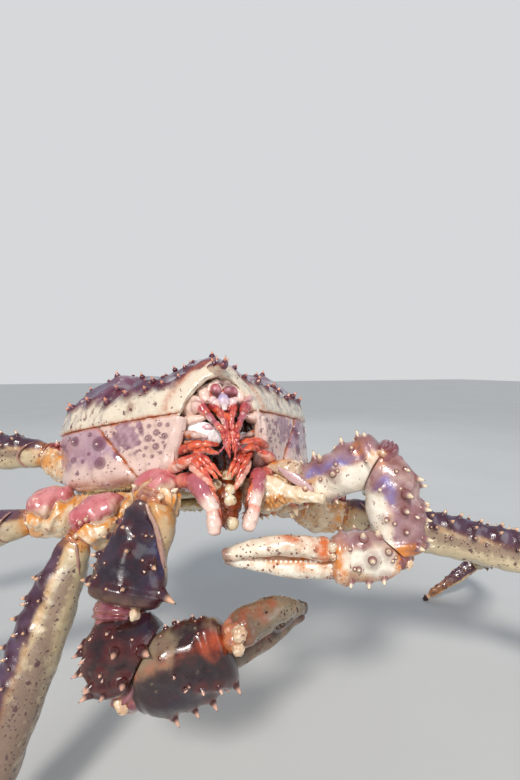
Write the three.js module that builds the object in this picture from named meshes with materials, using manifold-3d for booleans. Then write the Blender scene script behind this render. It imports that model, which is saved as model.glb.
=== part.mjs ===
// A red king crab at life size. It stands on its six walking legs, with its right claw hanging and its left
// claw held folded in front of its mouth.
//
// Units are millimetres, +Z is up and the floor is z = 0. The crab faces -Y, so its own right is -X.
// The body is shaped level in its own frame, with the sternum near z = 0, and is then pitched nose up.
// A limb is a chain of segments. Each has a length, a turn (degrees forward of straight out to the side)
// and a drop (degrees below level), and a back, the direction that its spiny upper edge faces.

import * as THREE from "three";
import { mergeVertices } from "three/addons/utils/BufferGeometryUtils.js";
import Module from "manifold-3d";

const wasm = await Module();
wasm.setup();

// Driving sizes
const STERNUM_HEIGHT = 190;
const NOSE_UP = 15;
const GAP = 0.3;
const LIMB_SIDES = 8;
const SPINE_SIDES = 5;
const SPINE_SUNK = 2.5;
const FOOT_HEIGHT = 0.5;
const DEG = Math.PI / 180;

// Materials
const finish = (color, roughness) => new THREE.MeshStandardMaterial({ color, roughness, metalness: 0 });
const SHELL_DARK = finish(0x5a2f3d, 0.3);
const SHELL_PINK = finish(0xc39aa0, 0.3);
const SHELL_CREAM = finish(0xe3d5b8, 0.35);
const LEG_SHELL = finish(0x7c5058, 0.32);
const CLAW_SHELL = finish(0x6b4f72, 0.32);
const MOUTH_RED = finish(0xc8402c, 0.28);
const MOUTH_WHITE = finish(0xe8e0dc, 0.25);
const EYE_PINK = finish(0x9c4a5e, 0.12);

const vec = (x, y, z) => new THREE.Vector3(x, y, z);
const UP = vec(0, 0, 1);

// Seeded random numbers, so that every build is the same
function seeded(seed) {
  let state = seed;
  return () => {
    state = (state + 0x6d2b79f5) | 0;
    let mixed = Math.imul(state ^ (state >>> 15), 1 | state);
    mixed = (mixed + Math.imul(mixed ^ (mixed >>> 7), 61 | mixed)) ^ mixed;
    return ((mixed ^ (mixed >>> 14)) >>> 0) / 4294967296;
  };
}

// The value at a place from 0 to 1 on a smooth line through evenly spaced values
function smoothAt(values, place) {
  const last = values.length - 1;
  const x = THREE.MathUtils.clamp(place, 0, 1) * last;
  const i = Math.min(Math.floor(x), last - 1);
  const f = x - i;
  const at = (k) => values[THREE.MathUtils.clamp(k, 0, last)];
  const [a, b, c, d] = [at(i - 1), at(i), at(i + 1), at(i + 2)];
  return b + 0.5 * f * (c - a + f * (2 * a - 5 * b + 4 * c - d + f * (3 * (b - c) + d - a)));
}

const bell = (distance, radius) => Math.exp(-((distance / radius) ** 2));

// From the body's own frame to the level one that stands on the floor
function placed(x, y, z) {
  const cos = Math.cos(NOSE_UP * DEG);
  const sin = Math.sin(NOSE_UP * DEG);
  return vec(x, y * cos + z * sin, z * cos - y * sin + STERNUM_HEIGHT);
}

// Solids
function solidOf(geometry) {
  const bare = geometry.clone();
  bare.deleteAttribute("normal");
  bare.deleteAttribute("uv");
  const merged = mergeVertices(bare, 1e-3);
  return new wasm.Manifold(
    new wasm.Mesh({
      numProp: 3,
      vertProperties: merged.attributes.position.array,
      triVerts: new Uint32Array(merged.index.array),
    }),
  );
}

function geometryOf(solid) {
  const mesh = solid.getMesh();
  return new THREE.BufferGeometry()
    .setAttribute("position", new THREE.BufferAttribute(mesh.vertProperties, 3))
    .setIndex(new THREE.BufferAttribute(mesh.triVerts, 1));
}

const join = (solids) => solids.reduce((all, one) => all.add(one));
const largest = (solid) =>
  solid.decompose().reduce((best, one) => (one.volume() > best.volume() ? one : best));

// Keeps what lies on the side of a plane that its normal points to
const keepBeyond = (solid, point, normal) => {
  const n = normal.clone().normalize();
  return solid.trimByPlane([n.x, n.y, n.z], n.dot(point));
};

// Moves every vertex of a three.js geometry by a function
function reshape(geometry, place) {
  const at = geometry.attributes.position;
  for (let i = 0; i < at.count; i++) {
    const moved = place(vec(at.getX(i), at.getY(i), at.getZ(i)));
    at.setXYZ(i, moved.x, moved.y, moved.z);
  }
  return geometry;
}

// A rod along a path, with its half width and half depth at evenly spaced places from end to end. Its two
// ends are drawn out past the path by a share of their depth, to round them.
function sweep({ points, back = UP, wide, deep, sides = LIMB_SIDES, rounded = 0.45 }) {
  const path = new THREE.CatmullRomCurve3(points);
  const frameAt = (t) => {
    const tangent = path.getTangentAt(t).normalize();
    const dorsal = back.clone().addScaledVector(tangent, -back.dot(tangent)).normalize();
    const side = tangent.clone().cross(dorsal);
    return { centre: path.getPointAt(t), tangent, dorsal, side };
  };
  const steps = wide.length - 1;
  const rod = new THREE.CylinderGeometry(1, 1, 1, sides, steps + 2);
  reshape(rod, (p) => {
    const row = Math.round((p.y + 0.5) * (steps + 2));
    const t = THREE.MathUtils.clamp((row - 1) / steps, 0, 1);
    const { centre, tangent, dorsal, side } = frameAt(t);
    const cap = row === 0 ? -1 : row === steps + 2 ? 1 : 0;
    const shrink = cap === 0 ? 1 : 0.6;
    return centre
      .addScaledVector(tangent, cap * rounded * smoothAt(deep, t))
      .addScaledVector(side, p.x * smoothAt(wide, t) * shrink)
      .addScaledVector(dorsal, p.z * smoothAt(deep, t) * shrink);
  });
  return { solid: solidOf(rod), frameAt, wide, deep, sides };
}

// A sharp cone that stands on a surface, its root sunk in
function spine(root, direction, length, radius) {
  const cone = new THREE.ConeGeometry(radius, length + SPINE_SUNK, SPINE_SIDES, 1);
  cone.translate(0, (length - SPINE_SUNK) / 2, 0);
  cone.applyQuaternion(new THREE.Quaternion().setFromUnitVectors(vec(0, 1, 0), direction.clone().normalize()));
  cone.translate(root.x, root.y, root.z);
  return solidOf(cone);
}

const spineRadius = (length) => 1.3 + 0.3 * length;

// Rows of spines along a rod. A row stands at an angle from the rod's back, in degrees, with a count and a
// length, between two places along the rod.
function spinesOn(rod, rows, random) {
  const made = [];
  const facet = Math.cos(Math.PI / rod.sides);
  for (const [angle, count, length, from = 0.12, to = 0.9] of rows) {
    for (let i = 0; i < count; i++) {
      const t = from + ((to - from) * (i + 0.5 + 0.4 * (random() - 0.5))) / count;
      const turn = (angle + 12 * (random() - 0.5)) * DEG;
      const { centre, tangent, dorsal, side } = rod.frameAt(t);
      const wide = smoothAt(rod.wide, t) * facet;
      const deep = smoothAt(rod.deep, t) * facet;
      const out = side.clone().multiplyScalar(Math.sin(turn) / wide);
      out.addScaledVector(dorsal, Math.cos(turn) / deep).normalize().addScaledVector(tangent, 0.3);
      const root = centre.addScaledVector(side, wide * Math.sin(turn));
      root.addScaledVector(dorsal, deep * Math.cos(turn));
      const tall = length * (0.8 + 0.4 * random());
      made.push(spine(root, out, tall, spineRadius(tall)));
    }
  }
  return made;
}

const crab = new THREE.Group();

function addNode(name, solid, material) {
  const mesh = new THREE.Mesh(geometryOf(largest(solid)), material);
  mesh.name = name;
  crab.add(mesh);
}

// The body. Its outline is a radius every 20 degrees from front to rear about the middle. Its section gives
// the share of that radius and the height, from the top of the back down to the underside.
const MIDDLE_Y = 8;
const OUTLINE = [88, 86, 80, 82, 93, 109, 116, 112, 104, 99];
const SIDE_SHARE = [0, 0.24, 0.46, 0.66, 0.83, 0.94, 1, 1, 0.97, 0.93, 0.6, 0];
const SIDE_HEIGHT = [88, 88, 87, 84, 77, 66, 53, 38, 22, 8, 5, 5];
const NOSE_SHARE = [0, 0.3, 0.58, 0.82, 0.95, 1, 1, 1, 0.97, 0.93, 0.6, 0];
const NOSE_HEIGHT = [88, 89, 89, 87, 84, 76, 58, 38, 22, 8, 5, 5];
const NOSE_ANGLE = 13;
const CORE_SHARE = [0, 0.4, 0.6, 0.72, 0.8, 0.82, 0.82, 0.78, 0.6, 0.48, 0.42, 0];
const CORE_HEIGHT = [66, 65, 63, 60, 55, 48, 36, 22, 12, 2, -7, -8];
const SUTURE_HEIGHT = 50;
const BODY_AROUND = 40;
const BODY_DOWN = 18;
const CORE_AROUND = 24;
const CORE_DOWN = 12;
const WALL_FOOT = { angle: 78, spread: 62, rise: 9, below: 30 };

// The humps of the back, over the gills, the stomach and the heart, and the groove between them
const LOBES = [
  { x: 58, y: 30, wide: 36, long: 46, rise: 11 },
  { x: 0, y: -36, wide: 26, long: 34, rise: 6 },
  { x: 0, y: 42, wide: 18, long: 26, rise: 5 },
];
const GROOVE = { from: [66, -22], to: [12, 6], wide: 9, depth: 8 };

function relief(x, y) {
  let height = 0;
  for (const lobe of LOBES) {
    const away = Math.hypot((Math.abs(x) - lobe.x) / lobe.wide, (y - lobe.y) / lobe.long);
    height += lobe.rise * bell(away, 1);
  }
  const [fx, fy] = GROOVE.from;
  const [tx, ty] = GROOVE.to;
  const along = ((Math.abs(x) - fx) * (tx - fx) + (y - fy) * (ty - fy)) / ((tx - fx) ** 2 + (ty - fy) ** 2);
  const near = THREE.MathUtils.clamp(along, 0, 1);
  const away = Math.hypot(Math.abs(x) - fx - near * (tx - fx), y - fy - near * (ty - fy));
  return height - GROOVE.depth * bell(away, GROOVE.wide);
}

function shellPoint(angle, down) {
  const nose = bell(angle / DEG, NOSE_ANGLE);
  const share = THREE.MathUtils.lerp(smoothAt(SIDE_SHARE, down), smoothAt(NOSE_SHARE, down), nose);
  const level = THREE.MathUtils.lerp(smoothAt(SIDE_HEIGHT, down), smoothAt(NOSE_HEIGHT, down), nose);
  const radius = Math.max(smoothAt(OUTLINE, Math.abs(angle) / Math.PI) * share, 0);
  const x = radius * Math.sin(angle);
  const y = MIDDLE_Y - radius * Math.cos(angle);
  const fade = THREE.MathUtils.clamp((level - SUTURE_HEIGHT) / 30, 0, 1);
  const off = (Math.abs(angle) / DEG - WALL_FOOT.angle) / WALL_FOOT.spread;
  const foot = WALL_FOOT.rise * Math.min(off ** 2, 1) * THREE.MathUtils.clamp((WALL_FOOT.below - level) / 22, 0, 1);
  return vec(x, y, level + fade * relief(x, y) + foot);
}

function corePoint(angle, down) {
  const radius = Math.max(smoothAt(OUTLINE, Math.abs(angle) / Math.PI) * smoothAt(CORE_SHARE, down), 0);
  return vec(radius * Math.sin(angle), MIDDLE_Y - radius * Math.cos(angle), smoothAt(CORE_HEIGHT, down));
}

// A closed form round the body's middle, reshaped from a ball. It can be grown a little on every side.
function ballForm(pointAt, around, down, grow = 0) {
  const ball = new THREE.SphereGeometry(1, around, down);
  const formed = reshape(ball, (p) => {
    const share = Math.acos(THREE.MathUtils.clamp(p.y, -1, 1)) / Math.PI;
    const pole = share < 1e-6 || share > 1 - 1e-6;
    const q = pointAt(pole ? 0 : Math.atan2(p.x, p.z), share);
    const radius = Math.hypot(q.x, q.y - MIDDLE_Y);
    const more = radius > 1 ? 1 + grow / radius : 1;
    return placed(q.x * more, MIDDLE_Y + (q.y - MIDDLE_Y) * more, q.z + (share < 0.5 ? grow : -grow));
  });
  return solidOf(formed);
}

const shellForm = ballForm(shellPoint, BODY_AROUND, BODY_DOWN);
const coreForm = ballForm(corePoint, CORE_AROUND, CORE_DOWN);
const coreRoom = ballForm(corePoint, CORE_AROUND, CORE_DOWN, 2 * GAP);
const bodyRoom = ballForm(shellPoint, BODY_AROUND, BODY_DOWN, 2 * GAP).add(coreRoom);

// Planes of the body's own frame, as a point and the direction to keep
const bodyDirection = (x, y, z) => placed(x, y, z).sub(placed(0, 0, 0));
const above = (solid, height) => keepBeyond(solid, placed(0, 0, height), bodyDirection(0, 0, 1));
const below = (solid, height) => keepBeyond(solid, placed(0, 0, height), bodyDirection(0, 0, -1));

// The face, an opening under the carapace's front like the space under a gable
const FACE = { foot: -30, footHalf: 36, rear: -56, front: -140 };
const FACE_ARCH = [[28, 44], [23, 57], [15, 67], [8, 73], [0, 75], [-8, 73], [-15, 67], [-23, 57], [-28, 44]];

function faceOpening(inset = 0) {
  const corners = [[-FACE.footHalf, FACE.foot], [FACE.footHalf, FACE.foot], ...FACE_ARCH];
  const moved = corners.map(([x, z]) => new THREE.Vector2(x - Math.sign(x) * inset, z - inset));
  const depth = FACE.rear - FACE.front;
  const prism = new THREE.ExtrudeGeometry(new THREE.Shape(moved), { depth, bevelEnabled: false });
  prism.rotateX(90 * DEG).translate(0, FACE.rear - inset, 0);
  return solidOf(reshape(prism, (p) => placed(p.x, p.y, p.z)));
}
const face = faceOpening();
const faceFrame = bodyRoom.subtract(faceOpening(GAP));

// The rostrum and the spines of the back, as a place on the outline and the section, with a length
const ROSTRUM = { root: [0, -70, 79], tip: [1, -97, 77], wide: 7, deep: 4.5 };
const ROSTRUM_SPINES = [
  [[0, -96, 77], [0, -1, 0.3], 5], [[-3.5, -88, 79], [-0.6, -0.6, 1], 4], [[3.5, -88, 79], [0.6, -0.6, 1], 4],
  [[0, -79, 82], [0, -0.6, 1], 4],
];
const BACK_SPINES = [
  [0, 0.3, 5], [14, 0.33, 4], [27, 0.22, 4], [34, 0.38, 5], [52, 0.3, 5], [70, 0.34, 6], [88, 0.26, 6],
  [108, 0.33, 6], [126, 0.27, 6], [146, 0.33, 5], [166, 0.27, 5], [180, 0.36, 4], [62, 0.18, 5], [118, 0.16, 5],
  [152, 0.17, 4], [12, 0.16, 4],
];
const RIM_SPINES = [
  [17, 0.4, 4], [26, 0.42, 5], [37, 0.43, 5], [50, 0.44, 6], [64, 0.45, 7], [78, 0.44, 7], [91, 0.45, 8],
  [104, 0.44, 7], [117, 0.45, 7], [131, 0.44, 6], [146, 0.44, 5], [161, 0.44, 5], [174, 0.44, 4],
];

function shellSpine([angle, down, length], side) {
  const at = (a, d) => shellPoint(a * side * DEG, d);
  const here = at(angle, down);
  const along = at(angle + 4, down).sub(at(angle - 4, down)).multiplyScalar(side);
  const falling = at(angle, down + 0.03).sub(at(angle, down - 0.03));
  const out = falling.cross(along).normalize().add(vec(0, -0.15, 0.25));
  const direction = bodyDirection(out.x, out.y, out.z);
  return spine(placed(here.x, here.y, here.z), direction, length, spineRadius(length));
}

const bothSides = (list) => list.flatMap((one) => (one[0] % 180 === 0 ? [[one, 1]] : [[one, 1], [one, -1]]));

function makeCarapace() {
  const dome = above(shellForm, SUTURE_HEIGHT + GAP / 2).subtract(face);
  const rostrum = sweep({
    points: [placed(...ROSTRUM.root), placed(...ROSTRUM.tip)],
    back: bodyDirection(0, 0, 1),
    wide: [ROSTRUM.wide, ROSTRUM.wide * 0.8, ROSTRUM.wide * 0.5],
    deep: [ROSTRUM.deep, ROSTRUM.deep * 0.9, ROSTRUM.deep * 0.5],
    sides: 6,
  });
  const nose = ROSTRUM_SPINES.map(([root, direction, length]) =>
    spine(placed(...root), bodyDirection(...direction), length, spineRadius(length)),
  );
  const spines = bothSides([...BACK_SPINES, ...RIM_SPINES]).map(([one, side]) => shellSpine(one, side));
  return join([dome, rostrum.solid, ...nose, ...spines]);
}

// The side wall's two plates on each side, parted by a seam that leans back as it rises
const SEAM = { foot: [48, -46, 8], head: [76, -20, 50], aim: 38 };
const PLATE_START = 16;

function makeSidePlates() {
  const wall = below(shellForm, SUTURE_HEIGHT - GAP / 2).subtract(face).subtract(coreRoom);
  for (const [side, label] of [[-1, "right"], [1, "left"]]) {
    const half = keepBeyond(wall, placed(side * PLATE_START, 0, 0), bodyDirection(side, 0, 0));
    const foot = placed(SEAM.foot[0] * side, SEAM.foot[1], SEAM.foot[2]);
    const head = placed(SEAM.head[0] * side, SEAM.head[1], SEAM.head[2]);
    const inward = placed(0, SEAM.aim, SEAM.foot[2]).sub(foot);
    const forward = head.clone().sub(foot).cross(inward).multiplyScalar(side).normalize();
    const backward = forward.clone().negate();
    const front = keepBeyond(half, foot.clone().addScaledVector(forward, GAP / 2), forward);
    const rear = keepBeyond(half, foot.clone().addScaledVector(backward, GAP / 2), backward);
    addNode(`${label}_front_side_plate`, front, SHELL_PINK);
    addNode(`${label}_rear_side_plate`, rear, SHELL_PINK);
  }
}

addNode("carapace", makeCarapace(), SHELL_DARK);
makeSidePlates();
addNode("thorax", below(coreForm, SUTURE_HEIGHT - GAP / 2).subtract(face), SHELL_CREAM);

// The flap of the abdomen, folded under the thorax from behind
const ABDOMEN = { wide: [24, 30, 33, 31, 24, 15, 7], deep: [5, 6, 6, 5.5, 5, 4.5, 3] };
const abdomen = sweep({
  points: [placed(0, 104, 14), placed(0, 94, -8), placed(0, 52, -15), placed(0, -12, -14)],
  back: bodyDirection(0, 0.5, -1),
  wide: ABDOMEN.wide,
  deep: ABDOMEN.deep,
  sides: 10,
});
addNode("abdomen", abdomen.solid.subtract(bodyRoom), SHELL_CREAM);

// The walking legs. Each segment's half width and half depth, and its rows of spines.
const LEG_FORM = {
  base: { wide: [12, 14, 14.5, 13], deep: [11, 13, 14, 13], rows: [] },
  merus: {
    wide: [9.5, 11, 12, 12, 11.5, 11],
    deep: [11.5, 14, 15, 15, 14.5, 13.5],
    rows: [[0, 6, 6], [38, 4, 4], [-38, 4, 4], [75, 3, 3], [-75, 3, 3]],
  },
  carpus: {
    wide: [9.5, 11, 11, 10],
    deep: [11, 13, 13, 11.5],
    rows: [[0, 4, 6], [40, 2, 4], [-40, 2, 4]],
  },
  propodus: {
    wide: [8.5, 9, 8.5, 8, 7.5],
    deep: [10, 10.5, 10, 9.5, 8.5],
    rows: [[0, 5, 5], [45, 3, 4], [-45, 3, 4], [180, 3, 3]],
  },
  dactyl: { wide: [6.5, 6.5, 5.5, 4, 2.4], deep: [7.5, 7.5, 6.2, 4.6, 2.8], rows: [[0, 2, 3, 0.1, 0.4]] },
};
const PARTS = ["base", "merus", "carpus", "propodus", "dactyl"];

// Each leg's hip in the body's own frame, and its segments as length, turn and drop. A dactyl's drop is
// left out, because it is what brings its tip to the floor.
const LEGS = [
  {
    name: "right_leg1", side: -1, hip: [-42, -25, -6], backs: { merus: [-1, 0.2, 0.35] },
    base: [54, 22, 16], merus: [145, 36, 64], carpus: [74, 20, 10], propodus: [104, 8, 6], dactyl: [80, 4],
  },
  {
    name: "right_leg2", side: -1, hip: [-46, 4, -6], backs: {},
    base: [83, -5, 7], merus: [160, 5, 8], carpus: [78, 4, 32], propodus: [106, 0, 40], dactyl: [80, -4],
  },
  {
    name: "right_leg3", side: -1, hip: [-44, 33, -6], backs: {},
    base: [88, -16, -26], merus: [152, -28, 0], carpus: [78, -32, 40], propodus: [108, -34, 56], dactyl: [82, -38],
  },
  {
    name: "left_leg1", side: 1, hip: [42, -25, -6], backs: {},
    base: [67, 27, 13], merus: [157, 22, 13], carpus: [76, 26, 30], propodus: [106, 24, 36], dactyl: [80, 20],
  },
  {
    name: "left_leg2", side: 1, hip: [46, 4, -6], backs: {},
    base: [80, 10, 23], merus: [160, 20, 10], carpus: [76, -38, 17], propodus: [102, -68, 33], dactyl: [81, -164],
  },
  {
    name: "left_leg3", side: 1, hip: [44, 33, -6], backs: {},
    base: [68, -22, 8], merus: [150, -34, 4], carpus: [78, -38, 34], propodus: [106, -40, 40], dactyl: [80, -42],
  },
];

const towards = (side, turn, drop) =>
  vec(
    side * Math.cos(drop * DEG) * Math.cos(turn * DEG),
    -Math.cos(drop * DEG) * Math.sin(turn * DEG),
    -Math.sin(drop * DEG),
  );

// A limb's joints and directions, from its hip outward
function chainOf(limb, parts) {
  const joints = [placed(...limb.hip)];
  const directions = [];
  for (const part of parts) {
    const from = joints.at(-1);
    const [length, turn, given] = limb[part];
    const drop = given ?? Math.asin((from.z - FOOT_HEIGHT) / length) / DEG;
    directions.push(towards(limb.side, turn, drop));
    joints.push(from.clone().addScaledVector(directions.at(-1), length));
  }
  return { joints, directions };
}

// Cuts a segment square to the bend of the joints at its two ends, so that segments meet face to face
function cutAtJoints(solid, { joints, directions }, i) {
  let cut = solid;
  if (i > 0) {
    const bend = directions[i - 1].clone().add(directions[i]).normalize();
    cut = keepBeyond(cut, joints[i].clone().addScaledVector(bend, GAP / 2), bend);
  }
  if (i < directions.length - 1) {
    const bend = directions[i].clone().add(directions[i + 1]).normalize().negate();
    cut = keepBeyond(cut, joints[i + 1].clone().addScaledVector(bend, GAP / 2), bend);
  }
  return cut;
}

function limbSegment(limb, chain, i, form, part, random) {
  const rod = sweep({
    points: [chain.joints[i], chain.joints[i + 1]],
    back: limb.backs[part] ? vec(...limb.backs[part]) : UP,
    wide: form.wide,
    deep: form.deep,
  });
  return { rod, solid: join([rod.solid, ...spinesOn(rod, form.rows, random)]) };
}

// The planes that part the roots of neighbouring limbs, each through the point halfway between two hips
function rootPlanes(limbs) {
  return limbs.slice(1).map((behind, i) => {
    const ahead = limbs[i];
    const outward = towards(ahead.side, ahead.base[1], 0).add(towards(behind.side, behind.base[1], 0));
    const forward = outward.cross(UP).multiplyScalar(ahead.side).normalize();
    const middle = placed(...ahead.hip).add(placed(...behind.hip)).multiplyScalar(0.5);
    return { middle, forward };
  });
}

function cutAtRoots(solid, planes, order) {
  let cut = solid;
  const next = planes[order];
  const last = planes[order - 1];
  if (next) cut = keepBeyond(cut, next.middle.clone().addScaledVector(next.forward, GAP / 2), next.forward);
  if (last) {
    const backward = last.forward.clone().negate();
    cut = keepBeyond(cut, last.middle.clone().addScaledVector(backward, GAP / 2), backward);
  }
  return cut;
}

// The claws. Both fingers leave the palm at its end, one on each side of the plane between them.
const CLAWS = [
  {
    name: "right_claw", side: -1, hip: [-29, -44, -4],
    base: [28, 54, -9], merus: [65, 42, 64], carpus: [40, 115, 66], palm: [60, 166, -22], finger: [56, -163, 0],
    backs: { merus: [-1, -0.6, 0.3], carpus: [-1, -0.8, 0], palm: [0, -0.4, 1], finger: [0, -0.4, 1] },
    form: {
      base: { wide: [13, 15, 15], deep: [12, 14, 14], rows: [] },
      merus: {
        wide: [12, 15, 19, 21], deep: [12, 16, 20, 20],
        rows: [[0, 3, 6], [45, 3, 5], [-45, 3, 5], [92, 1, 11, 0.8, 1], [-92, 1, 7, 0.8, 1]],
      },
      carpus: {
        wide: [19, 22, 22, 20], deep: [17, 22, 23, 20],
        rows: [[0, 3, 7], [40, 3, 6], [-40, 3, 6], [80, 3, 5], [-80, 3, 5]],
      },
      palm: {
        wide: [15, 18, 19, 18, 16], deep: [18, 23, 24, 23, 20],
        rows: [[20, 4, 5], [-20, 4, 5], [60, 3, 5], [-60, 3, 5], [150, 3, 4]],
      },
      fixed: { wide: [11, 10, 8, 6, 3.5], deep: [11, 10, 8.5, 6.5, 4] },
      finger: { wide: [10, 10, 8, 6, 3.5], deep: [9, 9.5, 8, 6, 4], rows: [[0, 3, 3, 0.1, 0.6]] },
    },
  },
  {
    name: "left_claw", side: 1, hip: [29, -44, -4],
    base: [42, 51, -8], merus: [63, 44, -27], carpus: [61, 88, 76], palm: [42, -164, 0], finger: [65, -161, 0],
    backs: { merus: [0, -0.4, 1], carpus: [1, -1, 0.2], palm: [0, -0.3, 1], finger: [0, -0.3, 1] },
    form: {
      base: { wide: [13, 16, 16], deep: [12, 15, 15], rows: [] },
      merus: { wide: [12, 13, 14, 14], deep: [12, 14, 15, 15], rows: [[0, 4, 6], [45, 3, 5], [-45, 3, 5]] },
      carpus: {
        wide: [12, 15, 15, 13], deep: [12, 16, 16, 13],
        rows: [[0, 4, 6], [45, 3, 6], [-45, 3, 6], [85, 3, 4], [-85, 3, 4]],
      },
      palm: {
        wide: [11, 12, 13, 13], deep: [12, 14, 15, 13.5],
        rows: [[0, 3, 5], [40, 3, 4], [-40, 3, 4], [90, 2, 3]],
      },
      fixed: { wide: [8, 7.5, 6.5, 5, 3], deep: [8, 7.5, 6.5, 5, 3] },
      finger: { wide: [7.5, 7.5, 6.5, 5, 3], deep: [6.5, 7, 6, 5, 3], rows: [] },
    },
  },
];
const CLAW_PARTS = ["base", "merus", "carpus", "palm", "finger"];
const FIXED_ROOT = 0.45;
const FINGER_SPREAD = 0.45;
const TIP_APART = 3;

function palmAndFinger(claw, chain, random) {
  const { form, name } = claw;
  const palm = limbSegment(claw, chain, 3, form.palm, "palm", random);
  const knuckle = chain.joints[4];
  const onward = chain.directions[3];
  const tip = chain.joints[5];
  const { dorsal, side } = palm.rod.frameAt(1);
  const parting = tip.clone().sub(knuckle).cross(side).normalize();
  if (parting.dot(dorsal) < 0) parting.negate();
  const spread = form.palm.deep.at(-1) * FINGER_SPREAD;
  const back = vec(...claw.backs.finger);
  const fixed = sweep({
    points: [
      knuckle.clone().addScaledVector(onward, -FIXED_ROOT * claw.palm[0]).addScaledVector(parting, -spread),
      knuckle.clone().lerp(tip, 0.3).addScaledVector(parting, -spread),
      tip.clone().addScaledVector(parting, -TIP_APART),
    ],
    back, wide: form.fixed.wide, deep: form.fixed.deep,
  });
  const moving = sweep({
    points: [
      knuckle.clone().addScaledVector(parting, spread),
      knuckle.clone().lerp(tip, 0.4).addScaledVector(parting, spread),
      tip.clone().addScaledVector(parting, TIP_APART),
    ],
    back, wide: form.finger.wide, deep: form.finger.deep,
  });
  const half = GAP / 2;
  const palmEnd = onward.clone().negate();
  const under = parting.clone().negate();
  const body = keepBeyond(cutAtJoints(palm.solid, chain, 3), knuckle.clone().addScaledVector(palmEnd, half), palmEnd);
  const lower = keepBeyond(fixed.solid, knuckle.clone().addScaledVector(under, half), under);
  const upper = join([moving.solid, ...spinesOn(moving, form.finger.rows, random)]);
  const above = keepBeyond(upper, knuckle.clone().addScaledVector(parting, half), parting);
  addNode(`${name}_palm`, body.add(lower), CLAW_SHELL);
  addNode(`${name}_finger`, keepBeyond(above, knuckle.clone().addScaledVector(onward, half), onward), SHELL_CREAM);
}

// No limb's root reaches nearer to the middle than this, where the mouthparts and the abdomen are
const ROOT_INSIDE = 27;

function makeLimbs(side) {
  const claw = CLAWS.find((one) => one.side === side);
  const limbs = [claw, ...LEGS.filter((one) => one.side === side)];
  const planes = rootPlanes(limbs);
  limbs.forEach((limb, order) => {
    const random = seeded(100 + order * 10 + side);
    const isClaw = limb === claw;
    const chain = chainOf(limb, isClaw ? CLAW_PARTS : PARTS);
    const parts = isClaw ? CLAW_PARTS.slice(0, 3) : PARTS;
    parts.forEach((part, i) => {
      const form = isClaw ? claw.form[part] : LEG_FORM[part];
      let solid = cutAtJoints(limbSegment(limb, chain, i, form, part, random).solid, chain, i);
      if (part === "base") solid = cutAtRoots(solid, planes, order).subtract(bodyRoom);
      if (part === "base") solid = keepBeyond(solid, placed(side * ROOT_INSIDE, 0, 0), vec(side, 0, 0));
      if (part === "dactyl") solid = keepBeyond(solid, vec(0, 0, 0), UP);
      const material = part === "base" ? SHELL_CREAM : isClaw ? CLAW_SHELL : LEG_SHELL;
      addNode(`${limb.name}_${part}`, solid, material);
    });
    if (isClaw) palmAndFinger(claw, chain, random);
  });
}

makeLimbs(-1);
makeLimbs(1);

// The face, from the eyes down to the mouthparts: paths in the body's own frame with their half widths
const FACE_PARTS = {
  eye: { path: [[4.5, -50, 65], [5.5, -66, 66], [6.5, -75, 67]], size: [3, 3.2, 4.2, 4, 2.6], finish: EYE_PINK },
  antennule: { path: [[3.6, -50, 57], [3.8, -70, 54], [3.4, -80, 45]], size: [3, 3, 2.6, 1.8, 1.2], finish: MOUTH_RED },
  antenna: {
    path: [[18, -50, 53], [17, -70, 55], [10, -82, 46], [4.5, -88, 34], [2.6, -88, 12]],
    size: [6.5, 6.5, 4.5, 3, 2.2, 1.8, 1.5, 1.1], finish: MOUTH_RED,
  },
  mandible: { path: [[20, -50, 38], [15, -66, 37], [5, -71, 34]], size: [7, 8, 8, 5], finish: MOUTH_WHITE },
  small_mouthpart: {
    path: [[27, -50, 22], [25, -68, 26], [17, -80, 20], [9, -84, 8]], size: [6, 6, 5.5, 4.5, 3.2], finish: MOUTH_RED,
  },
  large_mouthpart: {
    path: [[16, -50, -2], [17.5, -72, 3], [15, -86, -8], [10, -93, -22]], size: [7, 9, 8.5, 7, 5.5], finish: MOUTH_RED,
  },
};

function makeFaceParts() {
  const wall = placed(0, FACE.rear - GAP, 0);
  const forward = bodyDirection(0, -1, 0);
  for (const [side, label] of [[-1, "right"], [1, "left"]]) {
    for (const [part, { path, size, finish: material }] of Object.entries(FACE_PARTS)) {
      const points = path.map(([x, y, z]) => placed(side * x, y, z));
      const rod = sweep({ points, back: bodyDirection(0, -0.3, 1), wide: size, deep: size, sides: 8 });
      addNode(`${label}_${part}`, keepBeyond(rod.solid, wall, forward).subtract(faceFrame), material);
    }
  }
}
makeFaceParts();

// The origin is on the floor, under the middle of the whole crab
const reach = new THREE.Box3().setFromObject(crab);
const middle = reach.getCenter(vec(0, 0, 0));
crab.position.set(-middle.x, -middle.y, 0);

export default crab;
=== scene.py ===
# %% [markdown]
# # A red king crab, as a museum shows it
# This lesson dresses the solids of a life-size red king crab. The crab stands nose up on six legs, its
# right claw hanging and its left claw folded in front of its mouth. Every piece is shaped in millimetres
# and turned to metres at the end. The frame is loaded first, because each piece goes where its solid is.

import math

import bmesh
import bpy
import numpy as np
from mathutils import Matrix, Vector
from mathutils.bvhtree import BVHTree


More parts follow.
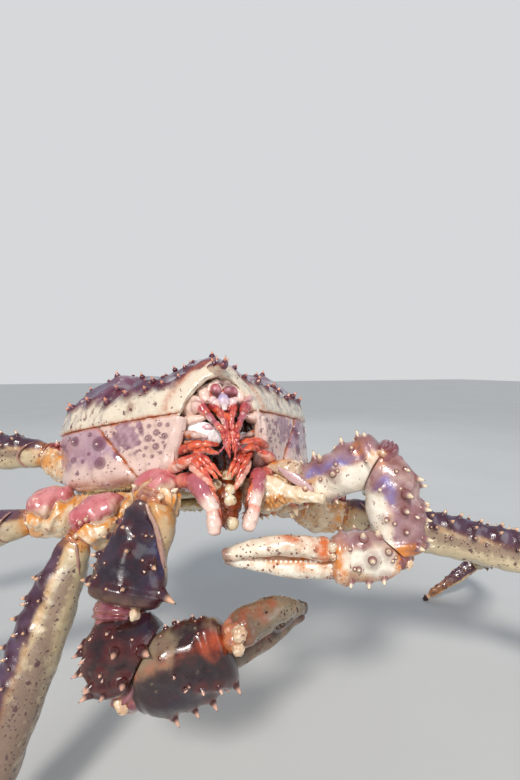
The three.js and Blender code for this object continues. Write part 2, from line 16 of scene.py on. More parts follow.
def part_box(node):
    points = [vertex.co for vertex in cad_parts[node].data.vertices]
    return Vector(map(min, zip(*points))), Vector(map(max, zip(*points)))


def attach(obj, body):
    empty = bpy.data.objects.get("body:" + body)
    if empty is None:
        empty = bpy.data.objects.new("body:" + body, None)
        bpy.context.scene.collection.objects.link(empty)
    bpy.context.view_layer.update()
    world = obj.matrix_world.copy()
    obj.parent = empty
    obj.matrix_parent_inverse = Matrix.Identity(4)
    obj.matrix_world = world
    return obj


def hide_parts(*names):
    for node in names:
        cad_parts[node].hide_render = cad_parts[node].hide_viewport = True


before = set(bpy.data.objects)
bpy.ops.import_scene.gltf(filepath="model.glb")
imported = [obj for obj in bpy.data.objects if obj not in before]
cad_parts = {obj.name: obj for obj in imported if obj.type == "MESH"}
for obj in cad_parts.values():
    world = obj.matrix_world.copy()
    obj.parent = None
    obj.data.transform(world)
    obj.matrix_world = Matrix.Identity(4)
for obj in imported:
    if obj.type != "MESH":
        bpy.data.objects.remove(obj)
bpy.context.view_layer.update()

# %% [markdown]
# ## Two frames of reference
# A crab's body is easiest to describe level, with its sternum at zero and its nose towards -Y. The living
# animal holds its nose up, so one function turns a point of the level body to where the solids are.

# %% The body's own frame
SIDES = ((-1, "right"), (1, "left"))
MM = 0.001
NOSE_UP = math.radians(15)
STERNUM = np.array([28.4, -37.9, 190.0])
MIDDLE_Y = 8
FLOOR_CLEAR = 0.5


def turned(points):
    """A direction or place of the level body, pitched nose up"""
    points = np.asarray(points, float)
    x, y, z = points[..., 0], points[..., 1], points[..., 2]
    cos, sin = math.cos(NOSE_UP), math.sin(NOSE_UP)
    return np.stack([x, y * cos + z * sin, z * cos - y * sin], -1)


def placed(points):
    return turned(points) + STERNUM


low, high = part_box("carapace")
print("carapace middle, mm from the sternum:", round((low.x + high.x) / 2 / MM - STERNUM[0], 1))

# %% [markdown]
# ## Camera and light
# The viewer stands close, a little to the crab's right, and looks almost level. A wet shell lives by its
# highlights, so sun-like daylight comes from high on the viewer's left, and a soft key light beside it, a
# cool fill and a rim light from behind lay broad shines over the shells. The floor follows at the end.

# %% Camera and studio
VIEW_WIDTH = 520
FOCAL_PIXELS = 430
SENSOR = 36
VIEWER = np.array([-68.0, -346.0, 98.0])
VIEW_YAW = math.radians(19)
VIEW_PITCH = math.radians(-3)
DAYLIGHT_FROM = Vector((-0.5, -0.85, 0.95))


def put_in(name, data):
    """A new object for a mesh, a lamp or a camera, linked into the scene"""
    made = bpy.data.objects.new(name, data)
    bpy.context.scene.collection.objects.link(made)
    return made


def facing(direction):
    return Vector(direction).to_track_quat("-Z", "Y").to_euler()


def make_camera():
    lens = bpy.data.cameras.new("Viewer")
    lens.sensor_fit = "HORIZONTAL"
    lens.sensor_width = SENSOR
    lens.lens = FOCAL_PIXELS / VIEW_WIDTH * SENSOR
    lens.clip_start = 0.01
    level = math.cos(VIEW_PITCH)
    camera = put_in("Viewer", lens)
    camera.location = Vector((STERNUM + VIEWER) * MM)
    ahead = math.sin(VIEW_YAW) * level, math.cos(VIEW_YAW) * level, math.sin(VIEW_PITCH)
    camera.rotation_euler = facing(ahead)
    bpy.context.scene.camera = camera


def make_lamp(name, kind, colour, **settings):
    lamp = bpy.data.lights.new(name, kind)
    lamp.color = colour
    for key, value in settings.items():
        setattr(lamp, key, value)
    return put_in(name, lamp)


def make_light(name, place, size, watts, colour=(1, 1, 1)):
    """A square area light that is aimed at the crab"""
    light = make_lamp(name, "AREA", colour, size=size, energy=watts)
    light.location = place
    light.rotation_euler = facing(Vector(AIM) - Vector(place))


AIM = (0.0, -0.05, 0.2)
make_camera()
daylight = make_lamp("Daylight", "SUN", (1.0, 0.96, 0.91), energy=2.2, angle=math.radians(10))
daylight.rotation_euler = facing(-DAYLIGHT_FROM)
make_light("Key", (-0.7, -1.3, 0.95), 0.8, 7, (1.0, 0.97, 0.93))
make_light("Fill", (1.3, -0.9, 0.7), 1.0, 5, (0.9, 0.95, 1.0))
make_light("Rim", (0.5, 1.3, 1.3), 1.6, 5)
bpy.context.scene.view_settings.view_transform = "Standard"
print("camera at, mm:", np.round(STERNUM + VIEWER))

# %% [markdown]
# ## Shader helpers
# A node tree is quicker to read when each node is one call. The class below places nodes and feeds them: a
# value that is a socket is linked, and any other value is written on the socket.

# %% Node helpers
def tint(code):
    """A colour from its six hex digits, in the linear numbers that shaders use"""
    parts = [int(code[i:i + 2], 16) / 255 for i in (0, 2, 4)]
    return tuple(p / 12.92 if p <= 0.04045 else ((p + 0.055) / 1.055) ** 2.4 for p in parts) + (1.0,)


class Graph:
    def __init__(self, tree):
        self.tree = tree

    def node(self, kind, inputs=None, **settings):
        made = self.tree.nodes.new(kind)
        for key, value in settings.items():
            setattr(made, key, value)
        self.feed(made.inputs, inputs or {})
        return made

    def feed(self, sockets, values):
        for key, value in values.items():
            if isinstance(value, bpy.types.NodeSocket):
                self.tree.links.new(value, sockets[key])
            else:
                sockets[key].default_value = value

    def math(self, how, a, b=0.5):
        return self.node("ShaderNodeMath", {0: a, 1: b}, operation=how).outputs[0]

    def times(self, a, b):
        return self.math("MULTIPLY", a, b)

    def plus(self, a, b=0.5):
        return self.math("ADD", a, b)

    def clamp(self, value):
        return self.node("ShaderNodeClamp", {0: value}).outputs[0]

    def mix(self, share, a, b):
        return self.node("ShaderNodeMix", {0: share, 6: a, 7: b}, data_type="RGBA").outputs[2]

    def step(self, value, low, high):
        settings = {"Value": value, "From Min": low, "From Max": high}
        return self.node("ShaderNodeMapRange", settings, interpolation_type="SMOOTHSTEP").outputs[0]

    def noise(self, place, scale, detail=3.0):
        settings = {"Vector": place, "Scale": scale, "Detail": detail, "Roughness": 0.6}
        return self.node("ShaderNodeTexNoise", settings).outputs[0]

    def spots(self, place, scale, share, widest):
        """Round spots of uneven size in a share of the cells of a loose grid"""
        cells = self.node("ShaderNodeTexVoronoi", {"Vector": place, "Scale": scale}).outputs
        chance = self.node("ShaderNodeSeparateColor", {0: cells["Color"]}).outputs
        inside = self.math("SUBTRACT", self.times(chance[1], widest), cells["Distance"])
        return self.times(self.math("LESS_THAN", chance[0], share), self.step(inside, -0.05, 0.04))

    def bump(self, height, strength, distance):
        relief = {"Height": height, "Strength": strength, "Distance": distance}
        return self.node("ShaderNodeBump", relief).outputs["Normal"]


def make_group(name, colours, values, outputs):
    """An empty shader node group with its sockets, and the graph and ends to fill it with"""
    tree = bpy.data.node_groups.new(name, "ShaderNodeTree")
    for socket in colours:
        tree.interface.new_socket(socket, in_out="INPUT", socket_type="NodeSocketColor")
    for socket in values:
        tree.interface.new_socket(socket, in_out="INPUT", socket_type="NodeSocketFloat")
    for socket, kind in outputs.items():
        tree.interface.new_socket(socket, in_out="OUTPUT", socket_type=kind)
    graph = Graph(tree)
    return graph, graph.node("NodeGroupInput").outputs, graph.node("NodeGroupOutput").inputs


def new_material(name):
    """A material, the graph of its nodes and its shader's sockets"""
    material = bpy.data.materials.new(name)
    material.use_nodes = True
    return material, Graph(material.node_tree), material.node_tree.nodes["Principled BSDF"].inputs


# %% [markdown]
# ## The pigment of a crab's shell
# The shell's colour lies in patches with ragged edges: dark on the back, cream below, orange where a joint
# rubs, blue on the claws, a dark ring round each spine and a pale spine with a dark point. The ring's dark
# mask also carries painted shade in some folds and creases and on one side of the face's lip, and the blue
# mask a painted sheen on the rear side plates. The modelling writes where each of these is as a mask on the
# vertices, and one group breaks the masks up with noise.
# The group puts out colour, roughness and height only, so that it serves wet shell and soft skin alike.

# %% The pigment group
MASKS = ("pale", "flush", "blue", "halo", "tip", "stain")
COLOURS = ("Dark", "Mottle", "Blue", "Pale", "Stain", "Flush", "Halo", "Tip", "Point")
HABITS = ("Freckles", "Ragged", "Stretch")
BROAD, PATCHY, FINE = 42.0, 170.0, 800.0
LARGE_SPOTS, SMALL_SPOTS, FLECKS = 190.0, 480.0, 330.0
BEND_SCALE, BEND = 380.0, 0.004


def make_pigment():
    outputs = {"Color": "NodeSocketColor", "Roughness": "NodeSocketFloat", "Height": "NodeSocketFloat"}
    graph, given, made = make_group("Pigment", COLOURS, [*MASKS, *HABITS], outputs)
    place = graph.node("ShaderNodeTexCoord").outputs["Object"]
    scales = graph.node("ShaderNodeCombineXYZ", {0: 1.0, 1: given["Stretch"], 2: 1.0}).outputs[0]
    place = graph.node("ShaderNodeVectorMath", {0: place, 1: scales}, operation="MULTIPLY").outputs[0]
    wander = graph.node("ShaderNodeTexNoise", {"Vector": place, "Scale": BEND_SCALE}).outputs["Color"]
    shift = graph.node("ShaderNodeVectorMath", {0: wander, "Scale": BEND}, operation="SCALE").outputs[0]
    bent = graph.node("ShaderNodeVectorMath", {0: place, 1: shift}, operation="ADD").outputs[0]
    broad = graph.noise(place, BROAD, 5.0)
    patchy = graph.noise(place, PATCHY, 5.0)
    fine = graph.noise(place, FINE, 2.0)
    # the upper shell, from dark to mottled, blue in places
    colour = graph.mix(graph.step(broad, 0.38, 0.62), given["Dark"], given["Mottle"])
    colour = graph.mix(graph.times(graph.step(patchy, 0.5, 0.72), 0.5), colour, given["Mottle"])
    colour = graph.mix(graph.times(graph.step(patchy, 0.46, 0.28), 0.55), colour, given["Halo"])
    colour = graph.mix(graph.times(given["blue"], graph.step(broad, 0.25, 0.6)), colour, given["Blue"])
    # where it turns pale, with a ragged edge and stains
    uneven = graph.plus(graph.math("SUBTRACT", broad), graph.math("SUBTRACT", patchy))
    edge = graph.plus(given["pale"], graph.times(uneven, given["Ragged"]))
    cream = graph.step(edge, 0.22, 0.74)
    soaked = graph.plus(patchy, graph.times(given["stain"], 0.3))
    soaked = graph.times(graph.step(soaked, 0.5, 0.76), graph.plus(given["stain"], 0.12))
    soaked = graph.times(graph.clamp(soaked), 0.75)
    colour = graph.mix(cream, colour, graph.mix(soaked, given["Pale"], given["Stain"]))
    # freckles on the pale part, and pale flecks on the dark part near it
    share = graph.plus(given["Freckles"], graph.times(given["stain"], 0.7))
    large = graph.spots(bent, LARGE_SPOTS, graph.times(share, 0.6), 0.36)
    small = graph.spots(bent, SMALL_SPOTS, share, 0.4)
    freckle = graph.times(graph.math("MAXIMUM", large, small), cream)
    colour = graph.mix(graph.times(freckle, 0.8), colour, given["Halo"])
    near_edge = graph.times(graph.step(edge, 0.0, 0.3), graph.math("SUBTRACT", 1.0, cream))
    fleck = graph.times(graph.spots(bent, FLECKS, 0.3, 0.45), near_edge)
    colour = graph.mix(graph.times(fleck, 0.7), colour, given["Pale"])
    # rubbed joints, rings and spines, and the painted shade that the halo mask also carries
    worn = graph.times(given["flush"], graph.plus(graph.step(patchy, 0.32, 0.62), 0.3))
    colour = graph.mix(graph.clamp(worn), colour, given["Flush"])
    colour = graph.mix(graph.times(given["halo"], 0.85), colour, given["Halo"])
    colour = graph.mix(graph.step(given["tip"], 0.28, 0.66), colour, given["Tip"])
    colour = graph.mix(graph.step(given["tip"], 0.84, 0.94), colour, given["Point"])
    colour = graph.mix(graph.times(graph.step(fine, 0.52, 0.8), 0.22), colour, given["Halo"])
    roughness = graph.plus(graph.times(graph.step(patchy, 0.4, 0.7), 0.2), 0.14)
    height = graph.plus(graph.plus(fine, freckle), graph.plus(patchy, patchy))
    graph.feed(made, {"Color": colour, "Roughness": roughness, "Height": height})
    return graph.tree


PIGMENT = make_pigment()
print("the pigment group has", len(PIGMENT.nodes), "nodes")

# %% [markdown]
# ## The finishes
# Each finish is the same group with its own palette. Gloss stays on the shader itself: a thin clear coat
# stands for the film of sea water, fuller on soft skin than on old shell.

# %% Finishes
PALETTES = {
    "back shell": "4a1e30 74455a 5f4a74 e8d8c0 987460 bc6238 581622 e89a76 2a0a0c",
    # the side shell's blue is used only for a painted lavender sheen on the rear plates
    "side shell": "b2868e cca8ae 9484b4 e6c6b8 b08674 b2602f 6a3448 f6e4d8 5a1f1c",
    "leg shell": "44252f 60424e 4a4a7c d0bc97 7e6254 d48a3c 44202a eab88c 3c140e",
    "right claw shell": "2b1e25 3e2e3c 2a2760 c9ae86 a0744c d08a40 481c20 e2b08c 3c120e",
    # a darker copy of the right claw shell, cream included: the carpus's real maroon plus painted shade on
    # the carpus, palm and fixed finger
    "dark claw shell": "170b0e 2b1817 23254a 8c785f 523a2e b44a22 541c18 d8a48c 2a0c0a",
    "left claw shell": "a27a7e ba9890 7474b6 faf1de b4824c da8438 783c30 f6deb8 401208",
    "finger shell": "a67664 c69e88 7a7ab8 f2e4cc c09674 d26a30 6a2416 f2e4d0 2c1008",
    # a darker copy of the finger shell: painted shadow on the right claw's movable finger, over its real
    # brown
    "dark finger shell": "2c1914 46302a 2c2c50 9c8a6c 5a4030 9c4420 2e100c dcb890 1c0806",
    "root skin": "c46066 da8c8a b4849e efdcbc cf9040 e2902c 84281c f6dcb8 5a2418",
    "joint skin": "7c3c46 a0686c 6e5a80 e8d4b4 b8865a c4743a 58181e f0d0a4 5a2418",
    "belly shell": "dcbf88 ead6a6 b8a0b0 f0e2c0 cc9c5c d88c3c 96602e f6ead0 6a4020",
    "mouth skin": "ac2830 d04844 a8606e efd2c2 e8988a ec6c38 641016 f8e2d8 5a0c10",
    "mandible": "f8f4f0 f0e0d8 dc8c98 ffffff e0b496 cc6c34 7c3c26 ffffff 8a4a30",
    # its near-black dark is painted shade: the wall of the face's hollow, the darker parts of the backing
    # behind the mouth's floor and the roots of the mouth's bristles
    "mouth hollow": "1e0c07 46200f 2a141a d8bc94 8a5a3a 8c3c14 140604 a08050 0c0504",
    "face boss": "eac8c0 dcaea8 8c98d8 f8f2ee f0d0c8 e08c84 b06a74 ffffff a05060",
    "fringe": "e2ca88 eedaa4 d8c090 f4e6c0 dcb858 deb43c a07c34 f4ead0 c8a860",
}
FRECKLES = {
    "back shell": 0.16, "side shell": 0.22, "leg shell": 0.25, "finger shell": 0.08, "root skin": 0.05,
    "left claw shell": 0.18, "right claw shell": 0.15, "dark claw shell": 0.2,
}
RAGGED = {"back shell": 0.6, "side shell": 0.4}
STRETCH = {"back shell": 0.6, "side shell": 0.45}
COAT = {"fringe": 0.0}
SOFT = ("root skin", "joint skin", "mouth skin", "mandible", "face boss")


def make_finish(name):
    material, graph, shader = new_material(name)
    group = graph.node("ShaderNodeGroup", node_tree=PIGMENT)
    soft = name in SOFT
    graph.feed(group.inputs, {
        **{socket: tint(code) for socket, code in zip(COLOURS, PALETTES[name].split())},
        **{mask: graph.node("ShaderNodeAttribute", attribute_name=mask).outputs["Fac"] for mask in MASKS},
        "Freckles": FRECKLES.get(name, 0.0),
        "Stretch": STRETCH.get(name, 1.0),
        "Ragged": RAGGED.get(name, 0.3 if soft else 0.55),
    })
    graph.feed(shader, {
        "Base Color": group.outputs["Color"],
        "Roughness": group.outputs["Roughness"],
        "Normal": graph.bump(group.outputs["Height"], 0.15 if soft else 0.3, 0.0006),
        "Coat Weight": COAT.get(name, 0.85 if soft else 0.55),
        "Coat Roughness": 0.05 if soft else 0.1,
    })
    return material


FINISHES = {name: make_finish(name) for name in PALETTES}
print(len(FINISHES), "finishes")

# %% [markdown]
# ## Closed forms from a ball
# A crab's shell has no sharp beginning or end, so nearly every piece starts as a ball of even rings whose
# vertices are then moved. The ball stays closed whatever it is turned into, and its rings say how far along
# the piece a vertex lies. Small helpers follow: smooth lines through a few values, and paths in space.

# %% Balls, lines and paths
BALLS = {}
WAVES = 6
PATH_PLACES = 161


def as_mesh(name, bm):
    """The mesh of a bmesh, which is freed"""
    mesh = bpy.data.meshes.new(name)
    bm.to_mesh(mesh)
    bm.free()
    return mesh


def ball(around, down):
    """A fresh ball, with each vertex's turn about the axis and its share of the way from pole to pole"""
    if (around, down) not in BALLS:
        bm = bmesh.new()
        bmesh.ops.create_uvsphere(bm, u_segments=around, v_segments=down, radius=1)
        mesh = as_mesh("ball", bm)
        x, y, z = points_of(mesh).T
        BALLS[around, down] = mesh, np.arctan2(x, y), np.arccos(np.clip(z, -1, 1)) / math.pi
    mesh, turn, share = BALLS[around, down]
    return mesh.copy(), turn, share


def points_of(mesh):
    flat = np.empty(len(mesh.vertices) * 3, np.float32)
    mesh.vertices.foreach_get("co", flat)
    return flat.reshape(-1, 3).astype(float)


def move_to(mesh, points):
    mesh.vertices.foreach_set("co", np.asarray(points, np.float32).ravel())


def smooth_at(values, place):
    """The value at places from 0 to 1 on a smooth line through evenly spaced values or points"""
    values = np.asarray(values, float)
    last = len(values) - 1
    x = np.clip(place, 0, 1) * last
    i = np.clip(np.floor(x), 0, last - 1).astype(int)
    f = x - i
    if values.ndim > 1:
        f = np.asarray(f)[..., None]
    a, b, c, d = (values[np.clip(i + k, 0, last)] for k in (-1, 0, 1, 2))
    return b + 0.5 * f * (c - a + f * (2 * a - 5 * b + 4 * c - d + f * (3 * (b - c) + d - a)))


def step(low, high, value):
    share = np.clip((value - low) / (high - low), 0, 1)
    return share * share * (3 - 2 * share)


def bell(distance, radius=1.0):
    return np.exp(-((distance / radius) ** 2))


def unit(vectors):
    vectors = np.asarray(vectors, float)
    return vectors / np.maximum(np.linalg.norm(vectors, axis=-1, keepdims=True), 1e-9)


def ripple(points, size, seed):
    """A smooth unevenness from about -1 to 1, with hollows and swellings of about this size"""
    random = np.random.default_rng(seed)
    total = 0
    for _ in range(WAVES):
        wave = unit(random.normal(size=3)) * 2 * math.pi / (size * random.uniform(0.7, 1.6))
        total = total + np.sin(points @ wave + random.uniform(0, 6.3))
    return total / 2.5


class Path:
    """A smooth line in space, measured evenly along its length"""

    def __init__(self, points):
        points = np.asarray(points, float)
        fine = np.linspace(0, 1, 2 if len(points) == 2 else PATH_PLACES)
        self.points = smooth_at(points, fine)
        run = np.linalg.norm(np.diff(self.points, axis=0), axis=1)
        self.length = run.sum()
        self.along = np.concatenate([[0], np.cumsum(run)]) / self.length

    def at(self, t):
        return np.stack([np.interp(t, self.along, self.points[:, k]) for k in range(3)], -1)

    def tangent(self, t):
        t = np.asarray(t, float)
        return unit(self.at(np.clip(t + 0.01, 0, 1)) - self.at(np.clip(t - 0.01, 0, 1)))


# %% [markdown]
# ## Rods
# Limbs, feelers and mouthparts are rods: a path, a half width and a half depth along it, and a back, which
# is the direction that the rod's upper edge faces. The ball's two poles become the rod's rounded ends.

# %% Rods
CAP = 0.1


class Rod:
    def __init__(self, points, wide, deep, back, around=40, rings=60, caps=(0.4, 0.4)):
        self.path = Path(points)
        self.wide, self.deep, self.back = wide, deep, np.asarray(back, float)
        self.mesh, self.turn, share = ball(around, rings)
        self.t = np.clip((share - CAP) / (1 - 2 * CAP), 0, 1)
        lead = np.clip((CAP - share) / CAP, 0, 1) * math.pi / 2
        trail = np.clip((share - 1 + CAP) / CAP, 0, 1) * math.pi / 2
        shrink = (np.cos(lead) * np.cos(trail))[:, None]
        centre, tangent, dorsal, side = self.frame_at(self.t)
        w = smooth_at(wide, self.t)[:, None]
        d = smooth_at(deep, self.t)[:, None]
        sin, cos = np.sin(self.turn)[:, None], np.cos(self.turn)[:, None]
        reach = np.sin(trail) * caps[1] * deep[-1] - np.sin(lead) * caps[0] * deep[0]
        self.points = centre + tangent * reach[:, None] + (side * w * sin + dorsal * d * cos) * shrink
        self.normal = unit(side * sin / w + dorsal * cos / d)
        self.shrink = shrink[:, 0]
        self.angle = np.degrees(self.turn)

    def frame_at(self, t):
        tangent = self.path.tangent(t)
        dorsal = unit(self.back - tangent * (tangent @ self.back)[..., None])
        return self.path.at(t), tangent, dorsal, np.cross(tangent, dorsal)

    def swell(self, height):
        """Moves the surface outward by a height in mm for each vertex"""
        self.points = self.points + self.normal * (np.asarray(height) * self.shrink)[:, None]

    def surface(self, t, angle):
        """A place on the rod and the direction that its surface faces there"""
        centre, _, dorsal, side = self.frame_at(np.asarray(t, float))
        w, d = smooth_at(self.wide, t), smooth_at(self.deep, t)
        turn = math.radians(angle)
        out = unit(side * math.sin(turn) / w + dorsal * math.cos(turn) / d)
        return centre + side * w * math.sin(turn) + dorsal * d * math.cos(turn), out

    def apart(self, angle):
        """How many degrees each vertex lies round the rod from an angle"""
        return np.abs((self.angle - angle + 180) % 360 - 180)


# %% [markdown]
# ## Spines
# A king crab's spine is a cone with a flared foot that rises out of a low mound, ringed dark. Each spine
# here is a small ball drawn out to a point with its foot sunk in, and the shell under it is swelled.

# %% Spines
SPINE_FOOT = 0.8


def spine_radius(length):
    return 1.3 + 0.36 * length


def spines_mesh(spines, around=10, rings=9):
    """All the spines of a piece as one mesh, and how near its tip each vertex is"""
    template, turn, share = ball(around, rings)
    bm = bmesh.new()
    for _ in spines:
        bm.from_mesh(template)
    mesh = as_mesh("spines", bm)
    rising = share < SPINE_FOOT
    low = np.clip((share - SPINE_FOOT) / (1 - SPINE_FOOT), 0, 1)
    up = share / SPINE_FOOT
    radius = np.where(rising, 0.1 * np.sqrt(up) + 0.66 * up + 0.24 * up**4, np.sqrt(1 - low**2))
    height = np.where(rising, 1 - up, 0)
    points = []
    for root, out, length, foot in spines:
        out = unit(out)
        first = unit(np.cross(out, [0.3, 0.9, 0.2]))
        second = np.cross(out, first)
        axis = (height * length - low * foot)[:, None] * out
        rim = (radius * foot)[:, None] * (np.cos(turn)[:, None] * first + np.sin(turn)[:, None] * second)
        points.append(root + axis + rim)
    move_to(mesh, np.concatenate(points))
    return mesh, np.tile(height, len(spines))


def mounds(points, spines, spread=1.9, rise=0.8, ring=0, reach=2.3):
    """The swelling under the spines in mm, and the dark ring round them, for each point"""
    if not spines:
        return np.zeros(len(points)), np.zeros(len(points))
    roots = np.array([s[0] for s in spines])
    feet = np.array([s[3] for s in spines])
    gap = (points**2).sum(1)[:, None] + (roots**2).sum(1) - 2 * points @ roots.T
    away = np.sqrt(np.maximum(gap, 0)) / feet
    depth = np.clip((feet - 1.1) / 1.3, 0.2, 1)
    dark = np.maximum(depth * step(reach, 0.9, away), ring * step(1.75, 1.35, away))
    tents = feet * np.exp(-((away / spread) ** 1.4))
    return rise * (tents**4).sum(1) ** 0.25, dark.max(1)


def rows_on(rod, rows, random):
    """Rows of spines along a rod: angle, count, length and, if not all of it, from where to where"""
    made = []
    for angle, count, length, *ends in rows:
        start, end = ends or (0.12, 0.9)
        for i in range(count):
            t = start + (end - start) * (i + 0.5 + random.uniform(-0.2, 0.2)) / count
            root, out = rod.surface(t, angle + random.uniform(-6, 6))
            tall = length * random.uniform(0.8, 1.2)
            made.append((root, out + 0.3 * rod.path.tangent(t), tall, spine_radius(tall)))
    return made


def single_spines(rod, singles):
    """Spines listed one by one on a rod, each by its place, angle and length"""
    made = []
    for t, angle, length in singles:
        root, out = rod.surface(t, angle)
        made.append((root, out + 0.25 * rod.path.tangent(t), length, spine_radius(length)))
    return made


# %% [markdown]
# ## Pieces
# A piece gathers closed forms and their masks, then becomes one object at the origin that rides on the
# body and stands for its solids.

# %% The piece
class Piece:
    def __init__(self, name, finish, slot, nodes=()):
        self.name, self.finish, self.slot, self.nodes = name, finish, slot, nodes
        self.bm = bmesh.new()
        self.masks = {mask: [] for mask in MASKS}

    def add(self, mesh, points=None, **masks):
        if points is not None:
            move_to(mesh, points)
        self.bm.from_mesh(mesh)
        for mask in MASKS:
            value = np.asarray(masks.get(mask, 0.0), float)
            self.masks[mask].append(np.broadcast_to(value, len(mesh.vertices)))
        bpy.data.meshes.remove(mesh)

    def add_spines(self, spines, **masks):
        if spines:
            mesh, tip = spines_mesh(spines)
            self.add(mesh, halo=np.clip(1.2 - 2.6 * tip, 0, 1), tip=tip, **masks)

    def finished(self):
        bmesh.ops.recalc_face_normals(self.bm, faces=self.bm.faces)
        mesh = as_mesh(self.name, self.bm)
        move_to(mesh, points_of(mesh) * MM)
        mesh.polygons.foreach_set("use_smooth", [True] * len(mesh.polygons))
        for mask in MASKS:
            layer = mesh.attributes.new(mask, "FLOAT", "POINT")
            layer.data.foreach_set("value", np.concatenate(self.masks[mask]).astype(np.float32))
        mesh.materials.append(FINISHES[self.finish])
        made = put_in(self.name, mesh)
        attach(made, "root")
        if self.nodes:
            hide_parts(*self.nodes)
        TALLY.append(sum(len(p.vertices) - 2 for p in mesh.polygons))
        return made


TALLY = []

# %% [markdown]
# ## The form of the body
# The carapace and the side walls are one egg-like form, parted later by seams. An outline gives its radius
# every 20 degrees from the nose to the rear, and a section gives how that radius shrinks towards the top.
# Humps lie over the gills, the stomach and the heart, with the grooves of a real back between them.

# %% The body's form
OUTLINE = [88, 86, 80, 82, 93, 109, 116, 112, 104, 99]
SIDE_SHARE = [0, 0.24, 0.46, 0.66, 0.83, 0.94, 1, 1, 0.97, 0.93, 0.6, 0]
SIDE_HEIGHT = [88, 88, 87, 84, 77, 66, 53, 38, 22, 8, 5, 5]
NOSE_SHARE = [0, 0.3, 0.58, 0.82, 0.95, 1, 1, 1, 0.97, 0.93, 0.6, 0]
NOSE_HEIGHT = [88, 89, 89, 87, 84, 76, 58, 38, 22, 8, 5, 5]
NOSE_ANGLE = 13
SUTURE = 50
LOBES = [(58, 30, 36, 46, 11), (0, -36, 26, 34, 6), (0, 42, 18, 26, 5)]
GROOVES = [((66, -22), (12, 6), 9, 8), ((12, 6), (14, 52), 6, 2.5), ((24, -58), (30, -18), 7, 2.5)]
WALL_FOOT = {"angle": 78, "spread": 62, "rise": 9, "below": 30}


def relief(x, y):
    x = np.abs(x)
    height = 0
    for at_x, at_y, wide, long, rise in LOBES:
        height = height + rise * bell(np.hypot((x - at_x) / wide, (y - at_y) / long))
    for (fx, fy), (tx, ty), wide, depth in GROOVES:
        along = ((x - fx) * (tx - fx) + (y - fy) * (ty - fy)) / ((tx - fx) ** 2 + (ty - fy) ** 2)
        near = np.clip(along, 0, 1)
        height = height - depth * bell(np.hypot(x - fx - near * (tx - fx), y - fy - near * (ty - fy)), wide)
    return height


def shell_point(angle, down):
    """A place of the level body's surface, from the angle round it and the share down its section"""
    degrees = np.abs(np.degrees(angle))
    nose = bell(degrees, NOSE_ANGLE)
    share = smooth_at(SIDE_SHARE, down) * (1 - nose) + smooth_at(NOSE_SHARE, down) * nose
    level = smooth_at(SIDE_HEIGHT, down) * (1 - nose) + smooth_at(NOSE_HEIGHT, down) * nose
    radius = np.maximum(smooth_at(OUTLINE, degrees / 180) * share, 0)
    x = radius * np.sin(angle)
    y = MIDDLE_Y - radius * np.cos(angle)
    fade = np.clip((level - SUTURE) / 30, 0, 1)
    off = (degrees - WALL_FOOT["angle"]) / WALL_FOOT["spread"]
    foot = WALL_FOOT["rise"] * np.minimum(off**2, 1) * np.clip((WALL_FOOT["below"] - level) / 22, 0, 1)
    return np.stack([x, y, level + fade * relief(x, y) + foot], -1)


def shell_out(angle, down):
    """The direction that the body's surface faces"""
    along = shell_point(angle + 0.05, down) - shell_point(angle - 0.05, down)
    falling = shell_point(angle, down + 0.02) - shell_point(angle, down - 0.02)
    return unit(np.cross(falling, along))


def wall_down(height):
    """The share down the section at which the side wall has this height"""
    shares = np.linspace(0.45, 0.82, 60)
    return np.interp(height, smooth_at(SIDE_HEIGHT, shares)[::-1], shares[::-1])


# %% [markdown]
# ## Cutting the body into plates
# The seams of the shell are planes of the level body, cut with bisect_plane and closed with holes_fill. The
# face is a gable-shaped opening that a Boolean takes out of the front, because its edge is curved.

# %% Cuts
FACE_REAR = -56
FACE_FRONT = -140
FACE_FOOT = -30
FACE_HALF = 36
FACE_ARCH = [(28, 44), (23, 57), (15, 67), (8, 73), (0, 75), (-8, 73), (-15, 67), (-23, 57), (-28, 44)]


def cut(mesh, point, normal):
    """Takes away what lies on the side of the plane that its normal points to, and closes the hole"""
    bm = bmesh.new()
    bm.from_mesh(mesh)
    whole = [*bm.verts, *bm.edges, *bm.faces]
    done = bmesh.ops.bisect_plane(
        bm, geom=whole, dist=1e-4, plane_co=point, plane_no=normal, clear_outer=True,
    )
    rim = [e for e in done["geom_cut"] if isinstance(e, bmesh.types.BMEdge)]
    bmesh.ops.holes_fill(bm, edges=rim, sides=0)
    bm.to_mesh(mesh)
    bm.free()
    return mesh


def face_prism():
    """The opening of the face, drawn as one outline and extruded"""
    curve = smooth_at(FACE_ARCH, np.linspace(0, 1, 49))
    corners = [(-FACE_HALF, FACE_FOOT), (FACE_HALF, FACE_FOOT), *[tuple(p) for p in curve]]
    bm = bmesh.new()
    verts = [bm.verts.new((x, FACE_REAR, z)) for x, z in corners]
    face = bm.faces.new(verts)
    moved = bmesh.ops.extrude_face_region(bm, geom=[face])["geom"]
    ahead = [v for v in moved if isinstance(v, bmesh.types.BMVert)]
    bmesh.ops.translate(bm, verts=ahead, vec=(0, FACE_FRONT - FACE_REAR, 0))
    bmesh.ops.recalc_face_normals(bm, faces=bm.faces)
    return as_mesh("face", bm)


def without(mesh, cutter):
    """A mesh less another, by a Boolean that is applied at once"""
    whole, knife = put_in("whole", mesh), put_in("knife", cutter)
    modifier = whole.modifiers.new("cut", "BOOLEAN")
    modifier.operation = "DIFFERENCE"
    modifier.solver = "MANIFOLD"
    modifier.object = knife
    graph = bpy.context.evaluated_depsgraph_get()
    made = bpy.data.meshes.new_from_object(whole.evaluated_get(graph))
    bpy.data.objects.remove(whole)
    bpy.data.objects.remove(knife)
    return made


